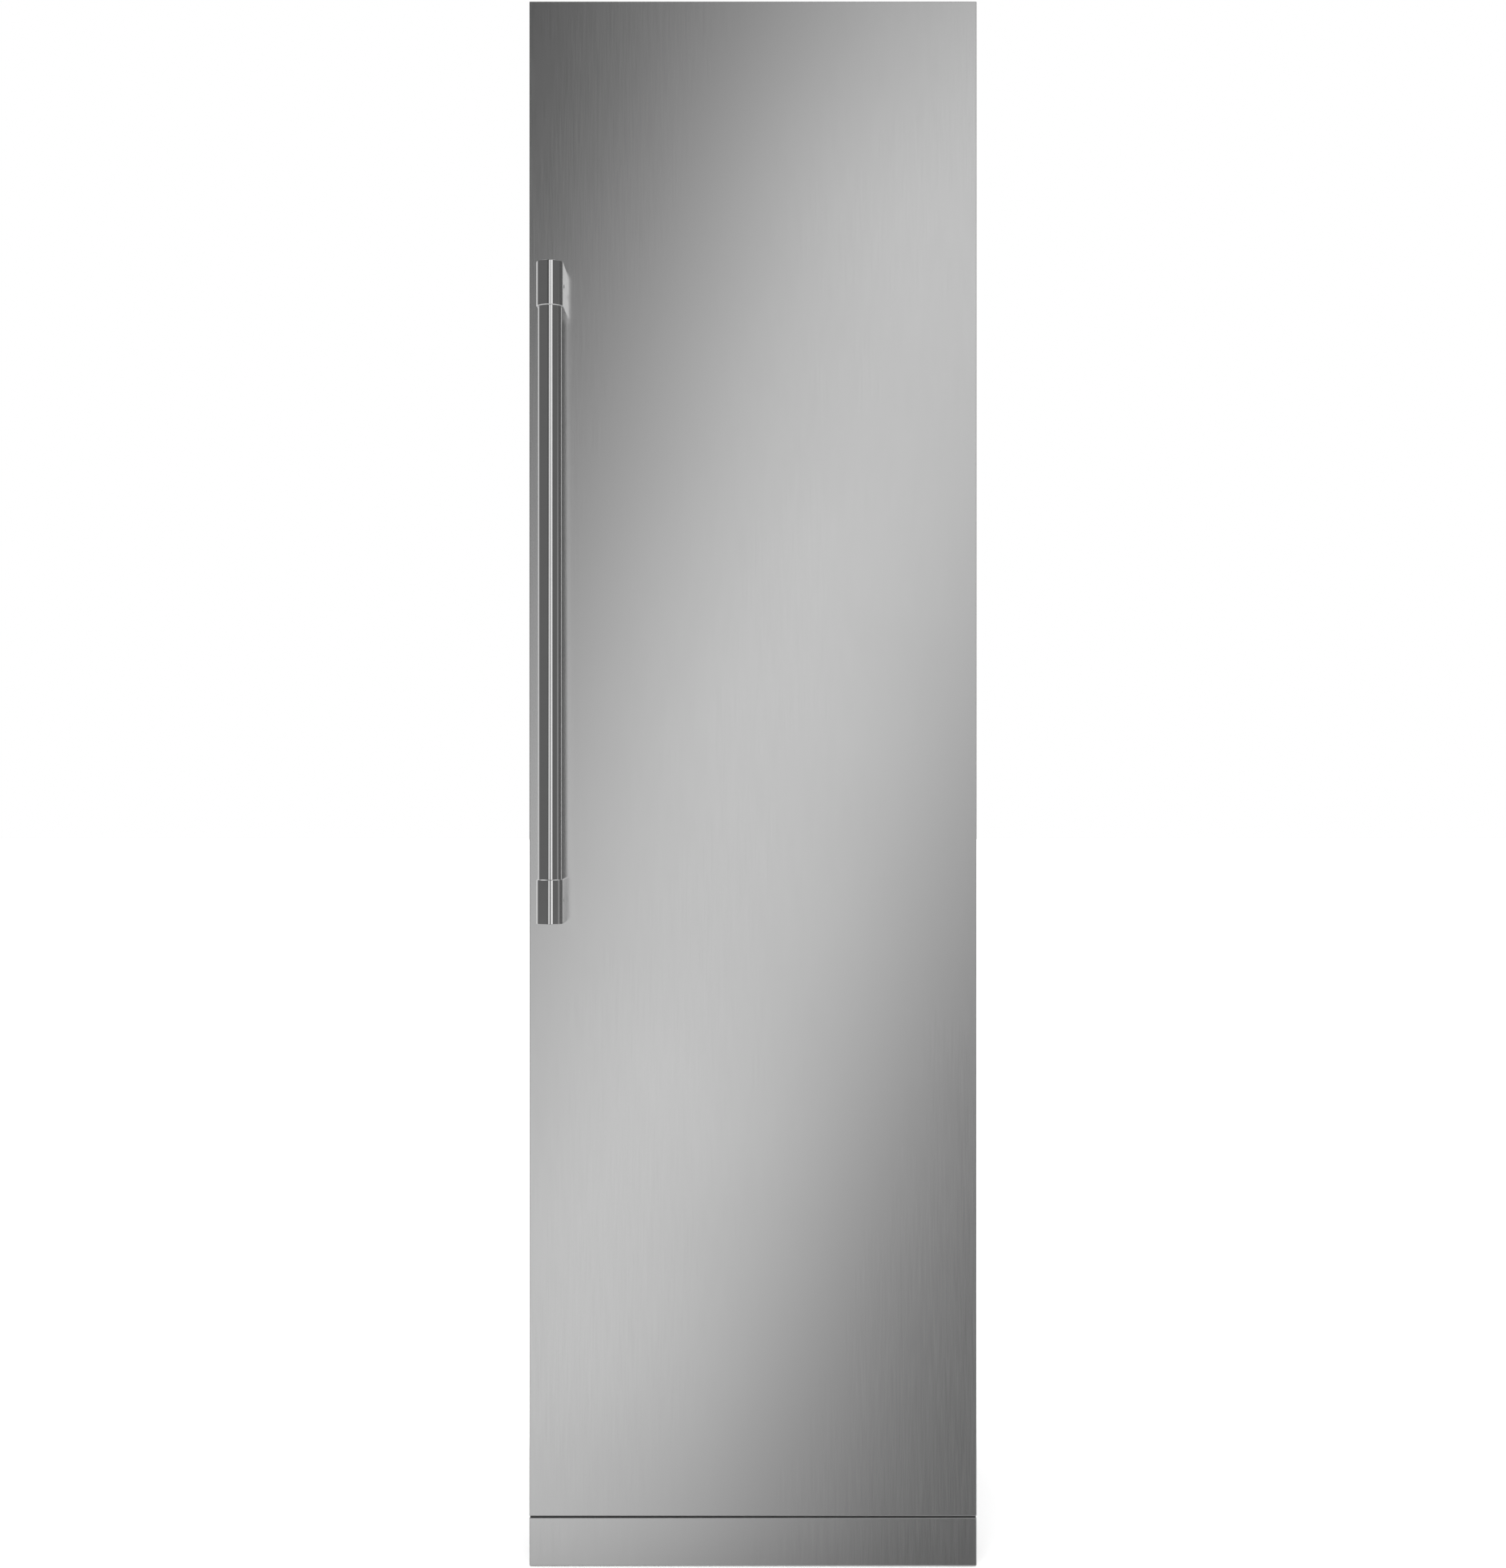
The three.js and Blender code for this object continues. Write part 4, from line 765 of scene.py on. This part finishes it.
# Drawers --------------------------------------------------------------------------------------------------
for name, top in DRAWERS.items():
    trim = Shape().plate(rectangle(-93.3, top - 6.6, -92.3, top - 0.6, 0.4, 2), -231, 231, "x", 0.3)
    piece(f"drawer_trim_{name}", trim, f"drawer_{name}", "stainless")
dots = Shape()
for k in range(5):
    radius = 0.9 + 0.45 * k
    dot = [(radius, 0), (radius, 0.35), (radius - 0.3, 0.6)]
    dots.turned(dot, (-48 + 24 * k, 598, SHELF_FRONT + 0.05), "y", -1)
piece("humidity_dots", dots, "drawer_upper", "grey_plastic")


# Cold air: evaporator and its fan ------------------------------------------------------------------------
def coil(x0, z0, width, height, y0, y1, pitch, rows, row_step, bend):
    """Fins between two end plates, and a tube that runs through them in rows."""
    fins, plates, pipes = Shape(), Shape(), Shape()
    half = width / 2
    count = int((width - 8) / pitch)
    start = x0 - pitch * (count - 1) / 2
    for k in range(count):
        x = start + k * pitch
        fins.box((x - 0.2, y0, z0 + 4), (x + 0.2, y1, z0 + height - 4))
    for x in (x0 - half, x0 + half - 2):
        plates.box((x, y0 - 0.8, z0), (x + 2, y1 + 0.8, z0 + height), 0.4)
    near, far = y0 + (y1 - y0) * 0.28, y0 + (y1 - y0) * 0.72
    for row in range(rows):
        z = z0 + height / 2 + (row - (rows - 1) / 2) * row_step
        for y in (near, far):
            pipes.tube([(x0 - half + 0.5, y, z), (x0, y, z), (x0 + half - 0.5, y, z)], 3.6, 10, 2)
        for side in (-1, 1):
            x = x0 + side * (half - 0.4)
            corner, tip = x + side * bend * 0.6, x + side * bend
            ends = [(x, near, z), (corner, near + 1, z), (tip, (near + far) / 2, z)]
            ends += [(corner, far - 1, z), (x, far, z)]
            pipes.tube(ends, 3.5, 10, 4)
    return fins, plates, pipes


def place_coil(name, node, parts):
    fins, plates, pipes = parts
    piece(f"{name}_fins", fins, "cabinet", "aluminium", stands_for=[node])
    piece(f"{name}_end_plates", plates, "cabinet", "galvanised")
    piece(f"{name}_tube", pipes, "cabinet", "copper")


place_coil("evaporator", "evaporator_coil", coil(0, 800, 385, 180, 243, 283, 5.0, 5, 32, 9))
place_coil("condenser", "condenser_coil", coil(110, BASE_TOP, 264, 158, -163, -117, 2.6, 5, 28, 10))


def fan_housing(centre, front, half, throat, depth, motor, motor_depth):
    """A square plate with a round throat, and a motor held on four struts behind it."""
    x, z = centre
    back = front + depth
    shape = Shape()
    rings = []
    for radius, y, square in (
        (half, front, True), (half, back, True), (throat + 1, back, False),
        (throat, back - 1, False), (throat, front + 2, False), (throat + 2, front, False),
    ):
        ring = []
        for u, v in arc(0, 0, 1, 0, 360, 64)[:-1]:
            reach = radius / max(abs(u), abs(v)) if square else radius
            u, v = u * reach, v * reach
            if math.hypot(u, v) > half * 1.35:
                u, v = u * 0.975, v * 0.975
            ring.append(Vector((x + u, y, z + v)))
        rings.append(ring)
    shape.skin(rings, closed=True)
    shape.turned([(motor, 0), (motor, motor_depth - 2), (motor - 2, motor_depth)], (x, z, back - 3), "y", 1, 40)
    middle, long = (throat + motor) / 2, (throat - motor) / 2 + 3
    for u, v in ((1, 0), (-1, 0), (0, 1), (0, -1)):
        half_x, half_z = long if u else 3, long if v else 3
        across, up = x + u * middle, z + v * middle
        shape.box((across - half_x, back - 3, up - half_z), (across + half_x, back, up + half_z), 0.6)
    return shape


housing = fan_housing(EVAPORATOR_FAN, 237.8, 74, 62, 24, 18, 20)
piece("evaporator_fan_housing", housing, "cabinet", "white_plastic")
housing = fan_housing(CONDENSER_FAN, -112.6, 84, 73, 34, 22, 34)
piece("condenser_fan_housing", housing, "cabinet", "black_plastic", stands_for=["condenser_fan_shroud"])
guard = Shape()
x, z = CONDENSER_FAN
for radius in (28, 40, 52, 64):
    guard.hoop((x, z, -76.8), "y", radius, 1.1)
for angle in (45, 135, 225, 315):
    u, v = math.cos(math.radians(angle)), math.sin(math.radians(angle))
    guard.tube([(x + u * r, -75.2, z + v * r) for r in (27, 52, 78)], 1.4, 8, 2)
piece("condenser_fan_guard", guard, "cabinet", "black_steel")


# Machinery ------------------------------------------------------------------------------------------------
def compressor(x, y):
    """A welded can with a domed lid, on a foot plate and with a box for its terminals."""
    can = [(40, 44), (66, 44.6), (75, 49), (81, 59), (84, 74), (84, 104.4)]
    can += [(85.6, 105.3), (86, 107), (86, 111), (85.6, 112.7), (84, 113.6), (84, 140)]
    for k in range(15):
        a = math.radians(6 * k)
        can.append((84 * math.cos(a), 146 + 55 * math.sin(a)))
    shape = Shape().turned(can, (x, y, 0), sides=72)
    shape.plate(rectangle(x - 108, y - 78, x + 108, y + 78, 16, 6), 41, 45, "z", 1.0)
    return shape.box((x - 22, y - 98, 90), (x + 22, y - 78, 136), 1.5, 4)


piece("compressor_can", compressor(*COMPRESSOR), "cabinet", "black_steel", stands_for=["compressor"])
grommets, bolts = Shape(), Shape()
for dx in (-92, 92):
    for dy in (-62, 62):
        x, y = COMPRESSOR[0] + dx, COMPRESSOR[1] + dy
        grommets.turned([(9, 0), (9, 4), (7.2, 5.2), (7.2, 6.4), (9, 7.6), (9, 10.6)], (x, y, BASE_TOP))
        bolts.bolt((x, y, 45.1), radius=8, height=5.5)
piece("compressor_grommets", grommets, "cabinet", "rubber")
piece("compressor_bolts", bolts, "cabinet", "galvanised")

suction = [(-241, 143, 110), (-263, 121, 110), (-271, 95, 128), (-271, 93, 170), (-271, 93, 216.2)]
piece("suction_line", Shape().tube(suction, 4.2), "cabinet", "copper")
liquid = [(-34, -128, 46), (-60, -116, 46), (-80, -90, 60), (-84, -40, 70), (-84, 20, 70), (-84, 76, 76)]
liquid += [(-78, 98, 110), (-62, 106, 160), (-58, 108, 216.2)]
piece("liquid_line", Shape().tube(liquid, 2.4), "cabinet", "copper")
drier = [(2.6, 0), (4, 4), (9, 12), (9, 78), (4, 86), (2.6, 90)]
piece("filter_drier", Shape().turned(drier, (-84, 70, -38), "y"), "cabinet", "copper")
process = [(-112, 250, 120), (-96, 262, 122), (-84, 268, 132), (-82, 268, 158)]
piece("process_tube", Shape().tube(process, 3.0), "cabinet", "copper")
cover = Shape().box((-199, 105.4, 88), (-151, 108, 138), 0.8, 3)
cover.screw((-175, 113, 105.5), radius=3.0, height=1.6)
piece("terminal_cover", cover, "cabinet", "black_plastic")

screws = Shape()
for x in (-290, -110, 110, 290):
    for z in (38.5, 210):
        screws.screw((x, z, 336.1), "y", 1, 4.0, 2.0)
piece("service_cover_screws", screws, "cabinet", "galvanised")
screws = Shape()
for x in (-250, 250):
    for z in (46, 204):
        screws.screw((x, z, -191.3), "y", -1, 4.0, 2.0)
piece("grille_screws", screws, "cabinet", "black_steel")
screws = Shape()
for x in (-240, -108):
    for y in (-160, -72):
        screws.screw((x, y, 120), "z", 1, 3.4, 1.8)
piece("control_box_screws", screws, "cabinet", "galvanised")
screws = Shape()
for x in (-294, 294):
    for k in range(9):
        screws.screw((x, 232 + 231 * k, BACK), "y", 1, 3.6, 1.8)
for x in (-150, 0, 150):
    screws.screw((x, 2092, BACK), "y", 1, 3.6, 1.8)
piece("back_panel_screws", screws, "cabinet", "galvanised")


# Feet -----------------------------------------------------------------------------------------------------
thread = [(5.3 if k % 2 else 6.0, 20.4 + 0.75 * k) for k in range(54)]
foot = [(21.5, 0), (22.6, 0.4), (24, 2.4), (24, 7.2), (23.2, 8.6), (17, 12.6), (12, 14.4)]
foot += [(10.2, 14.6, 1), (10.2, 20, 1), (5.6, 20.2), *thread, (4.9, 62)]
for name, centre in FEET.items():
    shape = Shape().turned(foot, (*centre, 0), sides=36)
    piece(f"foot_{name}", shape, f"foot_{name}", "grey_plastic", stands_for=[f"levelling_foot_{name}"])
    piece(f"foot_nut_{name}", Shape().nut((*centre, 30.4), 8.5, 6.3, 5), "cabinet", "galvanised")
